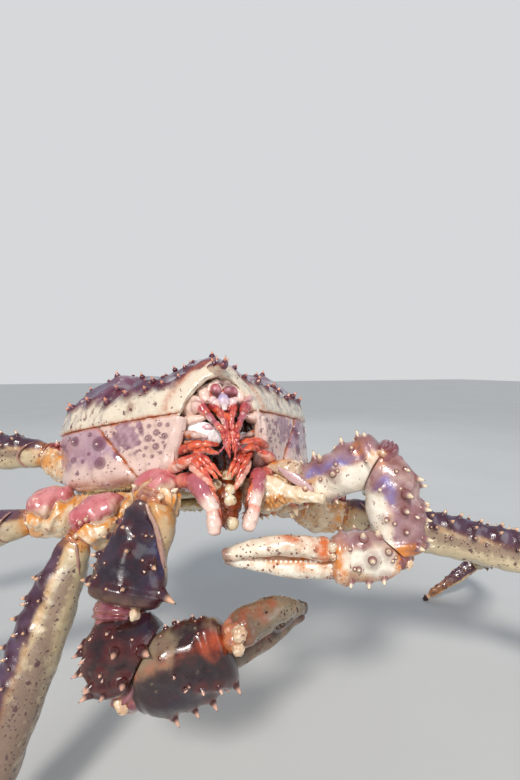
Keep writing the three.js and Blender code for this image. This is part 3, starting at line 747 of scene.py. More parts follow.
def body_mesh(around, down, swell=None, rings=(0, 1)):
    """The whole form; rings says where its rings lie from top to bottom, so that they can crowd a part"""
    mesh, angle, share = ball(around, down)
    share = np.interp(share, np.linspace(0, 1, len(rings)), rings)
    points = shell_point(angle, share)
    points[share < 1e-6] = [0, MIDDLE_Y, points[share < 0.01][:, 2].mean()]
    if swell is not None:
        points = points + shell_out(angle, np.clip(share, 0.021, 0.979)) * swell(points)[:, None]
    move_to(mesh, points)
    return mesh


TOP_RINGS = (0, 0.19, 0.38, 0.58, 1)
WALL_RINGS = (0, 0.5, 0.6, 0.7, 0.8, 1)
PRISM = face_prism()
print("the face's opening has", len(PRISM.polygons), "faces")

# %% [markdown]
# ## Spines of the back
# They stand in the places that a red king crab has them: a line down each side of the back, a closer row
# round its rim, and pairs over the stomach and the heart. Small ones are scattered between them.

# %% Back spines
BACK_SPINES = [
    (0, 0.3, 5), (14, 0.33, 4), (27, 0.22, 4), (34, 0.38, 5), (52, 0.3, 5), (70, 0.34, 6), (88, 0.26, 6),
    (108, 0.33, 6), (126, 0.27, 6), (146, 0.33, 5), (166, 0.27, 5), (180, 0.36, 4), (62, 0.18, 5),
    (118, 0.16, 5), (152, 0.17, 4), (12, 0.16, 4),
]
RIM_SPINES = [
    (17, 0.4, 4), (26, 0.42, 5), (37, 0.43, 5), (50, 0.44, 6), (64, 0.45, 7), (78, 0.44, 7), (91, 0.45, 8),
    (104, 0.44, 7), (117, 0.45, 7), (131, 0.44, 6), (146, 0.44, 5), (161, 0.44, 5), (174, 0.44, 4),
]
SMALL_SPINES = 120


def shell_spine(angle, down, length):
    turn = math.radians(angle)
    out = shell_out(turn, down) + np.array([0, -0.15, 0.25])
    return shell_point(turn, down), out, length, spine_radius(length)


def back_spines():
    random = np.random.default_rng(5)
    made = []
    for angle, down, length in BACK_SPINES + RIM_SPINES:
        for side in (1, -1) if angle % 180 else (1,):
            made.append(shell_spine(angle * side, down, length))
    for _ in range(SMALL_SPINES):
        angle = random.uniform(-180, 180)
        down = random.uniform(0.06, 0.47)
        if abs(angle) > 24 or down < 0.3:
            made.append(shell_spine(angle, down, random.uniform(0.8, 2.0)))
    return made


# %% [markdown]
# ## The carapace
# It is dark and wet above, and fades to freckled cream towards the seam with the side plates. A smooth
# cream band frames the face. The rostrum is a short beak with its own spines, its underside cream.

# %% Carapace
ROSTRUM = [(0, -66, 79), (0.4, -84, 79.5), (1, -98, 77)]
ROSTRUM_SPINES = [
    ((1, -98, 78), (0.1, -0.7, 0.8), 6), ((-3.6, -90, 80), (-0.6, -0.3, 1), 5),
    ((4, -90, 80), (0.6, -0.3, 1), 4.5), ((0, -82, 83), (0, -0.3, 1), 5),
]
BAND = 9
NOSE_FOOT = 0.65
BACK_LIFT, BACK_TALL, BACK_FOOT = 0.7, 0.75, 0.8


def arch_gap(points):
    """How far points of the level body are from the edge of the face's opening, seen from the front"""
    curve = smooth_at(FACE_ARCH, np.linspace(0, 1, 41))
    flat = points[:, [0, 2]]
    away = np.sqrt(((flat[:, None, :] - curve[None]) ** 2).sum(2)).min(1)
    return np.where(points[:, 1] < FACE_REAR + 14, away, 99)


def carapace():
    spines = back_spines()

    def swell(points):
        rise, _ = mounds(points, spines, 2.3, 0.9)
        rim = 1.6 * bell(arch_gap(points), 7) + 0.8 * bell(points[:, 2] - SUTURE - 4, 3)
        return rise + rim + 0.6 * ripple(points, 24, 3) + 0.2 * ripple(points, 8, 4)

    dome = cut(body_mesh(480, 190, swell, TOP_RINGS), (0, 0, SUTURE + 0.3), (0, 0, -1))
    dome = without(dome, PRISM.copy())
    points = points_of(dome)
    x, y, z = points.T
    angle = np.degrees(np.arctan2(np.abs(x), MIDDLE_Y - y))
    _, halo = mounds(points, spines, 1.7)
    gap = arch_gap(points)
    frame_band = step(BAND + 3, BAND - 3, gap + 1.5 * ripple(points, 14, 9))
    hollow = bell(np.hypot((angle - 38) / 9, (z - 60) / 8)) * (y < -30)
    fall = 1.5 * ripple(points * [1, 1, 0.2], 4, 6) * step(30, 60, angle)
    low = np.clip((81 - z - 2.5 * ripple(points, 16, 8) - fall - 3 * bell(angle - 100, 30)) / 30, 0, 1)
    pale = 1.3 * np.clip(np.maximum(np.maximum(frame_band, low), 1.2 * hollow), 0, 1)
    flush = np.maximum(0.9 * bell(z - SUTURE, 1.4), 0.5 * bell(gap - BAND - 1, 2.5))
    streaks = 0.9 * step(0.1, 0.9, ripple(points * [1, 1, 0.25], 3.5, 5)) * step(50, 80, angle)
    spill = 0.9 * bell(np.hypot((angle - 46) / 3, (z - 60) / 6))
    stain = np.clip(0.1 + streaks + spill, 0, 1) * (1 - frame_band)
    piece = Piece("carapace_shell", "back shell", "back_shell", ["carapace"])
    piece.add(dome, placed(points), pale=pale, flush=flush, halo=halo * (1 - frame_band), stain=stain)
    beak = Rod(placed(ROSTRUM), [8, 5.8, 2.6], [5.4, 4.6, 2.6], turned((0, 0, 1)), 28, 30, (0.2, 0.7))
    beak.swell(0.4 * ripple(beak.points, 5, 2))
    beak_pale = step(70, 112, beak.apart(0)) * step(1.0, 0.85, beak.t)
    piece.add(beak.mesh, beak.points, pale=beak_pale, flush=0.5 * bell(beak.apart(95), 25))
    nose = [
        (placed(r), turned(d), length, NOSE_FOOT * spine_radius(length)) for r, d, length in ROSTRUM_SPINES
    ]
    standing = [
        (placed(r + BACK_LIFT * foot * d), turned(d), BACK_TALL * length, BACK_FOOT * foot)
        for r, d, length, foot in spines if arch_gap(r[None])[0] > 4
    ]
    piece.add_spines(nose + standing)
    print("carapace spines:", len(nose + standing))
    return piece.finished()


carapace()

# %% [markdown]
# ## The rim of the face
# Where the carapace ends over the face its edge rolls into a smooth lip. A rod laid along the cut edge
# gives that lip. The edge is found by looking from the front at the form, which carries each point of it.

# %% The face's rim
def on_front(points):
    """Lays points of the level body, given by x and z, on its front surface"""
    form = bmesh.new()
    mesh = body_mesh(180, 75)
    form.from_mesh(mesh)
    bpy.data.meshes.remove(mesh)
    tree = BVHTree.FromBMesh(form)
    form.free()
    laid = []
    for x, z in points:
        hit = tree.ray_cast(Vector((x, -200, z)), Vector((0, 1, 0)))[0]
        laid.append((x, hit.y if hit else -75, z))
    return np.array(laid)


RIM_LINE = on_front(smooth_at([(x * 1.05 + 1.5, z + 1) for x, z in FACE_ARCH], np.linspace(0, 1, 25)))


def face_rim():
    wide, deep = [0.9, 2.1, 2.4, 2.3, 2.1, 0.9], [0.9, 2, 2.2, 2.1, 2, 0.9]
    rod = Rod(placed(RIM_LINE + [0, 0.8, 0]), wide, deep, turned((0, -1, 0)), 20, 160)
    rod.swell(0.35 * ripple(rod.points, 9, 4))
    # halo darkens the lip on the side that faces the crab's left, away from the daylight and key light:
    # painted shade
    dark = bell(rod.apart(np.where(rod.t < 0.5, 95, -95)), 32)
    piece = Piece("face_rim", "back shell", "back_shell")
    piece.add(rod.mesh, rod.points, pale=1.0, halo=0.6 * dark, flush=0.1)
    return piece.finished()


face_rim()

# %% [markdown]
# ## The cheeks
# The front edges of the side plates are rolled as well, and frame the mouth in pinkish cream. The plates
# could be bent there, but a rod laid along each edge gives an even roll however the plates are cut.

# %% Cheek edges
CHEEKS = {
    "right": [(-25, 47), (-27.5, 38), (-31.5, 24), (-36, 8)],
    "left": [(31.5, 46), (31.5, 34), (31, 20), (30.5, 6)],
}


def cheek(side, label):
    """The rolled front edge of a side plate, pinkish cream with an orange inner rim"""
    line = on_front(smooth_at(CHEEKS[label], np.linspace(0, 1, 15)))
    wide, deep = [4.6, 5.2, 5.4, 4.6], [2.4, 2.8, 2.8, 2.2]
    rod = Rod(placed(line + [0, 1.2, 0]), wide, deep, turned((0, -1, 0)), 24, 90)
    rod.swell(0.3 * ripple(rod.points, 10, 4))
    inner = 90 if rod.surface(0.5, 90)[1][0] * side < 0 else -90
    edge = bell(rod.apart(inner), 30)
    crease = bell(rod.apart(inner) - 55, 9)
    piece = Piece(f"{label}_cheek_edge", "side shell", "side_shell")
    piece.add(rod.mesh, rod.points, pale=1.0, flush=0.55 * edge, stain=0.15, halo=0.35 * crease)
    return piece.finished()


for side, label in SIDES:
    cheek(side, label)

# %% [markdown]
# ## Side plates
# Below the seam the wall is two plates on each side, lilac above and pinkish cream below, with low ringed
# bumps. The seams between plates are rust brown, and the lower edge is a soft translucent lip.

# %% Side plates
SEAM_FOOT = np.array([48, -46, 8])
SEAM_HEAD = np.array([76, -20, 50])
SEAM_AIM = 38
SEAM_GAP = 0.2
PLATE_START = 16
PRESSED = np.array([1, 0.45, 1])
TIP_LIFT, TIP_FOOT = 0.4, 0.5
WALL_BUMPS = {
    "rear": [
        (83, 42, 2.6), (66, 37, 3.6), (55, 27, 2.2), (67, 23, 3.2), (79, 26, 1.7), (86, 28, 2),
        (63, 16, 1.5), (95, 39, 2), (104, 44, 2.6), (60, 42, 2.4), (74, 31, 1.1), (58, 20, 1.2),
        (100, 30, 1.4), (112, 36, 2.2), (92, 22, 1.2), (124, 42, 2.6), (126, 28, 1.8), (140, 38, 2.4),
        (142, 24, 1.6), (156, 42, 2.4), (158, 28, 1.8), (172, 40, 2.2), (172, 26, 1.6), (118, 22, 1.2),
        (150, 18, 1.2), (72, 45, 1.2), (88, 45, 1.2), (70, 14, 1),
    ],
    "front": [
        (34, 36, 1.7), (29, 39, 1.5), (25, 36, 1.5), (30, 30, 1.6), (24, 28, 1.7), (21, 36, 1.2),
        (38, 42, 1.3), (27, 44, 1.1), (33, 44, 1), (23, 43, 1), (36, 30, 0.9), (28, 24, 0.9),
        (33, 22, 0.9), (40, 34, 1.1), (26, 32, 0.8), (31, 34, 0.7), (38, 24, 0.8), (24, 20, 0.8),
        (42, 28, 0.8), (35, 16, 0.7),
    ],
}


def seam_side(points, side):
    """How far points are in front of the slanting seam, in mm"""
    flip = np.array([side, 1, 1])
    foot, head = SEAM_FOOT * flip, SEAM_HEAD * flip
    inward = np.array([0, SEAM_AIM, SEAM_FOOT[2]]) - foot
    forward = unit(np.cross(head - foot, inward) * side)
    return (points - foot) @ forward, forward, foot


def wall_spines(side, which):
    made = []
    for angle, height, size in WALL_BUMPS[which]:
        turn, down = math.radians(angle * side), wall_down(height)
        made.append((shell_point(turn, down), shell_out(turn, down), 0.9 * size, size))
    return made


def drawn_out(spines):
    """The same spines with their roots pressed together along Y, so that mounds and rings come out oval"""
    return [(root * PRESSED, out, length, foot) for root, out, length, foot in spines]


def wall_form():
    """The side walls in one form, with the bumps, seams and lips of all four plates"""
    bumps = drawn_out([b for side in (-1, 1) for which in WALL_BUMPS for b in wall_spines(side, which)])

    def swell(points):
        rise, _ = mounds(points * PRESSED, bumps, 1.5)
        ahead = np.where(points[:, 0] < 0, seam_side(points, -1)[0], seam_side(points, 1)[0])
        edges = -0.9 * bell(ahead, 1.3) - 0.9 * bell(points[:, 2] - SUTURE, 1.6)
        rear = step(4, -4, ahead)
        lip = 3.5 * bell(points[:, 2] - 17, 15) * rear + 1.5 * bell(points[:, 2] - 12, 10) * (1 - rear)
        front = 1.3 * bell(np.abs(points[:, 0]) - 29, 3.5) * (points[:, 1] < -40)
        return 0.7 * rise + edges + lip + front + 0.3 * ripple(points, 14, 6)

    return cut(body_mesh(600, 150, swell, WALL_RINGS), (0, 0, SUTURE - 0.3), (0, 0, 1))


WALL = wall_form()


def side_plate(side, label, which):
    bumps = wall_spines(side, which)
    seam_sign = 1 if which == "front" else -1
    mesh = cut(WALL.copy(), (side * PLATE_START, 0, 0), (-side, 0, 0))
    _, forward, foot = seam_side(points_of(mesh), side)
    mesh = cut(mesh, foot + forward * seam_sign * SEAM_GAP, -forward * seam_sign)
    if which == "front":
        mesh = without(mesh, PRISM.copy())
    points = points_of(mesh)
    _, halo = mounds(points * PRESSED, drawn_out(bumps), ring=0.8, reach=1.4)
    seam = np.abs(seam_side(points, side)[0])
    height = points[:, 2]
    flush = np.maximum(bell(seam, 1.5), bell(height - SUTURE, 1.6))
    x, y = np.abs(points[:, 0]), points[:, 1]
    stain = 0.1 + 0.35 * step(0.2, 0.9, ripple(points, 12, 31))
    if which == "rear":
        pale = step(38, 8, height + 4 * ripple(points, 18, 2))
        flush = np.maximum(flush, 0.4 * bell(height - 7, 5))
        angle = np.degrees(np.arctan2(x, MIDDLE_Y - y))
        rust = bell(np.hypot((angle - 95) / 4, (height - 36) / 6))
        stain = np.clip(stain + 0.7 * step(84, 110, angle), 0, 1)
        halo = np.maximum(halo, rust * (0.5 + 0.4 * ripple(points, 4, 3)) * (side < 0))
        # a faint lavender patch high on the rear plate, in the side shell's blue: a painted sheen
        blue = 0.25 * bell(np.hypot((angle - 62) / 14, (height - 30) / 12))
    else:
        inner = bell(x - 27, 4) * (y < -40)
        patch = step(1.4, 0.7, np.hypot((x - 60) / 9, (height - 40) / 11) + 0.4 * ripple(points, 7, 4))
        pale = np.clip(0.95 - patch + inner, 0, 1)
        flush = np.maximum(flush, 0.4 * bell(height - 8, 4))
        halo = np.maximum(halo, 0.7 * patch * (0.7 + 0.3 * ripple(points, 5, 11)))
        stain = np.clip(stain - inner, 0, 1)
        blue = 0 * x
    name = f"{label}_{which}_side"
    piece = Piece(f"{name}_shell", "side shell", "side_shell", [f"{name}_plate"])
    piece.add(mesh, placed(points), pale=pale, flush=flush, halo=halo, stain=stain, blue=blue)
    piece.add_spines([
        (placed(r + TIP_LIFT * foot * d), turned(d), length, foot * TIP_FOOT)
        for r, d, length, foot in bumps
    ])
    return piece.finished()


for side, label in SIDES:
    for which in ("front", "rear"):
        side_plate(side, label, which)
print("triangles so far:", sum(TALLY))

# %% [markdown]
# ## The lip and the fringe under the wall
# The wall's foot ends in a soft pink lip, and cream bristles hang inside it, where they keep sand out of
# the gills. The lip is a flat rod along the foot, and the bristles are thin cones in a loop.

# %% Lip and fringe
FOOT_PLACES = 40
BRISTLES = 420
BRISTLE_FOOT = 0.55


def foot_line(side, start, end, height, inset):
    """A line along the wall's foot, from one angle to another, set inward from the wall"""
    degrees = np.linspace(start, end, FOOT_PLACES)
    points = shell_point(np.radians(degrees) * side, wall_down(height))
    inward = unit(points * [1, 1, 0] - [0, MIDDLE_Y, 0])
    off = (degrees - WALL_FOOT["angle"]) / WALL_FOOT["spread"]
    return points - inward * inset + np.outer(WALL_FOOT["rise"] * np.minimum(off**2, 1), [0, 0, 0.4])


def wall_lip(side, label):
    line = placed(foot_line(side, 36, 168, 9, 1.0))
    rod = Rod(line, [2, 2.6, 3, 3, 2.6, 2], [3, 4, 4.6, 4.4, 3.6, 2.4], turned((0, 0, 1)), 16, 150)
    rod.swell(0.3 * ripple(rod.points, 7, 12))
    piece = Piece(f"{label}_wall_lip", "side shell", "side_shell")
    piece.add(rod.mesh, rod.points, pale=0.75, flush=0.25 + 0.3 * bell(rod.apart(180), 50), stain=0.5)
    return piece.finished()


def fringe(side, label):
    random = np.random.default_rng(20 + side)
    line = Path(foot_line(side, 30, 160, 7, 7))
    bristles = []
    for i in range(BRISTLES):
        root = line.at((i + random.uniform(0, 1)) / BRISTLES) + random.normal(size=3) * [1.2, 1.2, 1]
        out = unit(root * [1, 1, 0] - [0, MIDDLE_Y, 0]) * random.uniform(0.1, 0.7) + [0, 0, -1]
        aim = turned(out + random.normal(size=3) * 0.12)
        bristles.append((placed(root), aim, random.uniform(5, 9), BRISTLE_FOOT))
    piece = Piece(f"{label}_gill_fringe", "fringe", "underside")
    mesh, tip = spines_mesh(bristles, 4, 5)
    piece.add(mesh, pale=tip, flush=0.8 * (1 - tip))
    middle = placed(line.at(np.linspace(0, 1, 30)) + [0, 0, -1])
    band = Rod(middle, [4.5] * 3, [4] * 3, turned((0, 0, 1)), 12, 110)
    band.swell(0.6 * ripple(band.points, 5, 30))
    piece.add(band.mesh, band.points, pale=1.0, flush=0.3)
    return piece.finished()


for side, label in SIDES:
    wall_lip(side, label)
    fringe(side, label)

# %% [markdown]
# ## Under the body
# The thorax carries the legs and closes the body below, its plates parted by grooves between the legs. The
# abdomen is folded under it from behind, as a broad flap of segments.

# %% Thorax and abdomen
CORE_SHARE = [0, 0.4, 0.6, 0.72, 0.8, 0.82, 0.82, 0.78, 0.6, 0.48, 0.42, 0]
CORE_HEIGHT = [46, 46, 45, 44, 43, 42, 36, 22, 12, 2, -7, -8]
FLAP = [(0, 104, 14), (0, 94, -8), (0, 52, -15), (0, -12, -14)]
FLAP_WIDE = [24, 30, 33, 31, 24, 15, 7]
FLAP_DEEP = [5, 6, 6, 5.5, 5, 4.5, 3]
FLAP_SEGMENTS = 6
RIB_SPACING = 29


def thorax():
    mesh, turn, share = ball(200, 90)
    radius = np.maximum(smooth_at(OUTLINE, np.abs(turn) / math.pi) * smooth_at(CORE_SHARE, share), 0)
    height = smooth_at(CORE_HEIGHT, share)
    points = np.stack([radius * np.sin(turn), MIDDLE_Y - radius * np.cos(turn), height], -1)
    below = step(0, -5, height)
    ribs = np.abs(np.sin(np.pi * (points[:, 1] + 60) / RIB_SPACING)) ** 8
    points[:, 2] += below * 1.6 * ribs + 0.4 * ripple(points, 9, 14)
    points[:, 1] = np.maximum(points[:, 1], FACE_REAR + 1)
    piece = Piece("thorax_shell", "belly shell", "underside", ["thorax"])
    piece.add(mesh, placed(points), pale=0.6, flush=0.5 * below * ribs)
    return piece.finished()


def abdomen():
    rod = Rod(placed(FLAP), FLAP_WIDE, FLAP_DEEP, turned((0, 0.5, -1)), 60, 110)
    phase = rod.t * FLAP_SEGMENTS
    dip = np.abs(phase - np.round(phase))
    lobes = bell(rod.apart(90), 25) + bell(rod.apart(-90), 25)
    waves = lobes * np.cos(2 * np.pi * phase)
    rod.swell(-1.4 * bell(dip, 0.06) + 0.8 * waves + 0.3 * ripple(rod.points, 10, 2))
    piece = Piece("abdomen_flap", "belly shell", "underside", ["abdomen"])
    piece.add(rod.mesh, rod.points, pale=0.5, flush=0.6 * bell(dip, 0.07), halo=0.3 * bell(dip, 0.03))
    knobs = rows_on(rod, [(0, 5, 2), (35, 6, 1.5), (-35, 6, 1.5)], np.random.default_rng(3))
    piece.add_spines(knobs)
    return piece.finished()


thorax()
abdomen()

# %% [markdown]
# ## Limbs as chains
# A limb is a chain of segments from the hip outward. Each has a length, a turn forward of straight out to
# the side, and a drop below level, both in degrees. A walking leg's last drop is what brings its tip down
# to the floor. The same numbers made the solids, so each shell segment covers its own.

# %% The chains
LEG_PARTS = ("merus", "carpus", "propodus", "dactyl")
JOINT_GAP = 0.3
LEG_FORM = {
    "base": ([12, 14, 14.5, 13], [11, 13, 14, 13]),
    "merus": ([9.5, 11, 12, 12, 11.5, 11], [11.5, 14, 15, 15, 14.5, 13.5]),
    "carpus": ([9.5, 11, 11, 10], [11, 13, 13, 11.5]),
    "propodus": ([8.5, 9, 8.5, 8, 7.5], [10, 10.5, 10, 9.5, 8.5]),
    "dactyl": ([6.5, 6.5, 5.5, 4, 2.4], [7.5, 7.5, 6.2, 4.6, 2.8]),
}
LEGS = {
    "right_leg1": (-1, (-42, -25, -6), [(54, 22, 16), (145, 36, 64), (74, 20, 10), (104, 8, 6), (80, 4)]),
    "right_leg2": (-1, (-46, 4, -6), [(83, -5, 7), (160, 5, 8), (78, 4, 32), (106, 0, 40), (80, -4)]),
    "right_leg3": (-1, (-44, 33, -6), [
        (88, -16, -26), (152, -28, 0), (78, -32, 40), (108, -34, 56), (82, -38),
    ]),
    "left_leg1": (1, (42, -25, -6), [(67, 27, 13), (157, 22, 13), (76, 26, 30), (106, 24, 36), (80, 20)]),
    "left_leg2": (1, (46, 4, -6), [(80, 10, 23), (160, 20, 10), (76, -38, 17), (102, -68, 33), (81, -164)]),
    "left_leg3": (1, (44, 33, -6), [(68, -22, 8), (150, -34, 4), (78, -38, 34), (106, -40, 40), (80, -42)]),
}
CLAWS = {
    "right_claw": (-1, (-29, -44, -4), [
        (28, 54, -9), (65, 42, 64), (40, 115, 66), (60, 166, -22), (56, -163, 0),
    ]),
    "left_claw": (1, (29, -44, -4), [
        (42, 51, -8), (63, 44, -27), (61, 88, 76), (42, -164, 0), (65, -161, 0),
    ]),
}
BACKS = {
    "right_leg1_merus": (-1, 0.2, 0.35),
    "right_claw_merus": (-1, -0.6, 0.3), "right_claw_carpus": (-1, -0.8, 0),
    "right_claw_palm": (0, -0.4, 1), "right_claw_finger": (0, -0.4, 1),
    "left_claw_merus": (0, -0.4, 1), "left_claw_carpus": (1, -1, 0.2),
    "left_claw_palm": (0, -0.3, 1), "left_claw_finger": (0, -0.3, 1),
}


def towards(side, turn, drop):
    turn, drop = math.radians(turn), math.radians(drop)
    flat = math.cos(drop)
    return np.array([side * flat * math.cos(turn), -flat * math.sin(turn), -math.sin(drop)])


class Chain:
    """A limb's joints and directions, and its segments' backs"""

    def __init__(self, name, side, hip, segments):
        self.name, self.side = name, side
        self.joints = [placed(hip)]
        self.directions = []
        for length, turn, *given in segments:
            above = self.joints[-1][2] - FLOOR_CLEAR
            drop = given[0] if given else math.degrees(math.asin(above / length))
            self.directions.append(towards(side, turn, drop))
            self.joints.append(self.joints[-1] + self.directions[-1] * length)

    def clear(self, points, i):
        """Presses what would cross into the next segment back to the plane between them"""
        for after, sign in ((i, -1), (i + 1, 1)):
            if 0 < after < len(self.directions):
                bend = sign * unit(self.directions[after - 1] + self.directions[after])
                over = np.maximum((points - self.joints[after]) @ bend + JOINT_GAP, 0)
                points = points - over[:, None] * bend
        return points

    def back(self, part):
        return BACKS.get(f"{self.name}_{part}", (0, 0, 1))


CHAINS = {name: Chain(name, *rest) for name, rest in {**LEGS, **CLAWS}.items()}
for name, chain in CHAINS.items():
    print(name, "ends at", np.round(chain.joints[-1]))

# %% [markdown]
# ## A shell segment
# Every segment is a rod with a narrow neck at its root, a rolled rim at its far end, and spines on its
# back. Its paint says round which angle the shell is pale and how wide that is, and where it turns blue.
# A brown line crosses the root of a leg's merus, where the animal can cast the leg off.

# %% Segment paint
PAINT = {
    "leg_merus": {"pale": (180, 122), "blue": (0, 40, 0.3), "row": (80, 22, 0.9)},
    "leg_carpus": {"pale": (180, 112), "blue": (0, 40, 0.2), "row": (90, 40, 0.5)},
    "leg_propodus": {"pale": (180, 95), "blue": (0, 40, 0.15), "row": (100, 40, 0.5)},
    "leg_dactyl": {"pale": (180, 75), "blue": (0, 30, 0.1), "row": (110, 40, 0.4)},
    "right_leg1_merus": {
        "pale": (180, 113), "blue": (10, 45, 0.5), "row": (102, 18, 1.0), "dirt": (0.3, 0.75),
        "patches": [("halo", 0.8, -112, 0.36, 56, 0.4)],
    },
    "right_claw_merus": {"pale": (-165, 44), "blue": (-104, 20, 0.8), "rub": 0.35},
    "right_claw_carpus": {"pale": (165, 30), "blue": (-100, 24, 0.7), "rub": 0.15},
    "right_claw_palm": {"pale": (-18, 50), "blue": (90, 25, 0.2), "rub": 0.1, "patches": [
        ("pale", 0.8, -10, 0.26, 70, -0.75), ("flush", 0.93, 34, 0.13, 26, 0.5),
        ("halo", 0.93, 12, 0.05, 12, 0.5), ("halo", 0.5, 10, 0.1, 10, 0.4),
    ]},
    "left_claw_merus": {"pale": (165, 112), "blue": (42, 18, 1.0), "rub": 0.35, "patches": [
        ("stain", 0.12, 30, 0.16, 50, 0.9), ("blue", 0.28, 45, 0.1, 30, 0.9),
        ("flush", 0.86, 20, 0.08, 24, 0.7), ("pale", 0.06, 20, 0.1, 60, 0.6),
    ]},
    "left_claw_carpus": {"pale": (128, 44), "blue": (80, 12, 0.3), "rub": 0.3, "patches": [
        ("blue", 0.36, 88, 0.16, 22, 1.0), ("flush", 0.96, 40, 0.06, 60, 0.9),
        ("halo", 0.03, 50, 0.05, 30, 0.8), ("pale", 0.1, 120, 0.25, 60, -0.9),
    ]},
    "left_claw_palm": {"pale": (-142, 112), "blue": (-20, 30, 0.1), "rub": 0.9, "patches": [
        ("pale", 0.05, -40, 0.09, 70, 0.8), ("stain", 0.8, -110, 0.3, 30, 0.7),
        ("flush", 0.5, -118, 0.5, 12, 0.5),
    ]},
}
RIDGE = [(0, -40), (0.08, -54), (0.23, -82), (0.5, -108), (0.8, -122)]
CORDS = {
    "right_leg1_merus": [(0.0, -92), (0.05, -110), (0.09, -122), (0.12, -130)],
    "right_claw_merus": RIDGE,
    "leg_merus": [(0.05, 25), (0.1, 60), (0.12, 95), (0.08, 135)],
}
SINGLES = {
    "right_claw_merus": [
        (0.28, -13, 4.5), (0.5, -38, 5.5), (0.6, -84, 6), (0.32, -62, 2), (0.9, 42, 6), (0.86, -48, 4.5),
        (0.86, -112, 12), (0.62, 26, 6), (0.42, 34, 5), (0.9, 8, 5), (0.9, -24, 2.5), (0.25, 40, 4),
        (0.75, 60, 6), (0.92, 95, 8),
    ],
    "right_claw_carpus": [
        (0.36, -41, 7), (0.5, -74, 9), (0.56, -96, 9), (0.85, -44, 7), (0.62, -20, 3), (0.35, 5, 5),
        (0.15, 20, 5), (0.55, 12, 4), (0.78, 2, 6), (0.92, 20, 7), (0.3, 40, 6), (0.6, 42, 7),
        (0.9, 55, 7), (0.5, 75, 6), (0.8, 85, 7), (0.95, -14, 5), (0.06, -30, 3), (0.08, 0, 3),
    ],
    "right_claw_palm": [
        (0.69, 125, 7), (0.48, 128, 6), (0.24, 131, 7), (0.85, 100, 5), (0.97, 130, 7), (0.7, 86, 4),
        (0.12, 150, 7), (0.5, 160, 6), (0.8, 158, 6), (0.36, 156, 5), (0.92, 148, 5), (0.2, -20, 2.5),
        (0.35, -24, 2.5),
        (0.5, -26, 2.5), (0.65, -22, 2.5), (0.8, -28, 2.5), (0.28, -34, 2), (0.58, -38, 2), (0.9, -20, 2),
    ],
    "left_claw_merus": [
        (0.12, -5, 6), (0.3, -10, 6.5), (0.4, 14, 7), (0.68, -8, 6.5), (0.88, -12, 6), (0.97, 4, 5),
        (0.5, 60, 6), (0.35, 128, 5), (0.5, -50, 5), (0.75, -55, 5), (0.8, 20, 3),
    ],
    "left_claw_carpus": [
        (0.12, 30, 4), (0.22, 10, 7), (0.3, -12, 6.5), (0.37, 48, 8), (0.5, -28, 7), (0.54, 54, 5),
        (0.54, 10, 7), (0.62, 30, 3), (0.66, 4, 6), (0.86, 4, 7), (0.94, -16, 8), (0.72, -34, 6),
        (0.3, -34, 6), (0.3, 96, 4), (0.62, 92, 3), (0.76, 56, 2.5), (0.15, -60, 5), (0.85, -70, 5),
        (0.93, 30, 6),
    ],
    "left_claw_palm": [
        (0.32, -8, 7), (0.58, -16, 7.5), (0.48, -62, 6), (0.2, -44, 5), (0.25, -112, 5), (0.5, -115, 5.5),
        (0.8, -112, 5), (0.15, 30, 5), (0.6, 45, 4), (0.85, 40, 3), (0.7, -80, 2.5),
    ],
}
LEG_ROWS = {
    "merus": [(0, 8, 6), (30, 7, 4.5), (-30, 7, 4.5), (58, 4, 2.5), (-58, 4, 2.5), (0, 3, 8, 0.86, 0.99)],
    "carpus": [(0, 5, 6.5), (38, 4, 4.5), (-38, 4, 4.5), (75, 2, 3), (-75, 2, 3)],
    "propodus": [(0, 7, 5.5), (42, 5, 4), (-42, 5, 4), (85, 4, 2.5), (-85, 4, 2.5), (180, 4, 3)],
    "dactyl": [(0, 3, 3, 0.05, 0.4), (60, 3, 2, 0.05, 0.4), (-60, 3, 2, 0.05, 0.4)],
    "base": [(22, 3, 4, 0.8, 0.98), (-22, 3, 4, 0.8, 0.98)],
}
RINGS = {"merus": 150, "carpus": 90, "propodus": 110, "dactyl": 90, "palm": 80}
INSET = 0.22
FAR_INSETS = {"right_claw_merus": 0.42, "dactyl": 0.3}
LARGE_CORD, SMALL_CORD = 1.7, 1.0
SMALL_ON_SEGMENT = 14
LIMB_LIFT, LIMB_FOOT = 0.5, 0.85


def seed_of(name):
    return sum(ord(letter) * (i + 1) for i, letter in enumerate(name))


def segment_rod(chain, i, part, form, around):
    """The plain rod of a segment, a little shorter than its solid so that soft skin shows at its joints"""
    start, end = chain.joints[i], chain.joints[i + 1]
    wide, deep = form
    short = FAR_INSETS.get(f"{chain.name}_{part}", FAR_INSETS.get(part, INSET))
    path = [start + chain.directions[i] * deep[0] * INSET, end - chain.directions[i] * deep[-1] * short]
    return Rod(path, wide, deep, chain.back(part), around, RINGS[part], (0.3, 0.26))


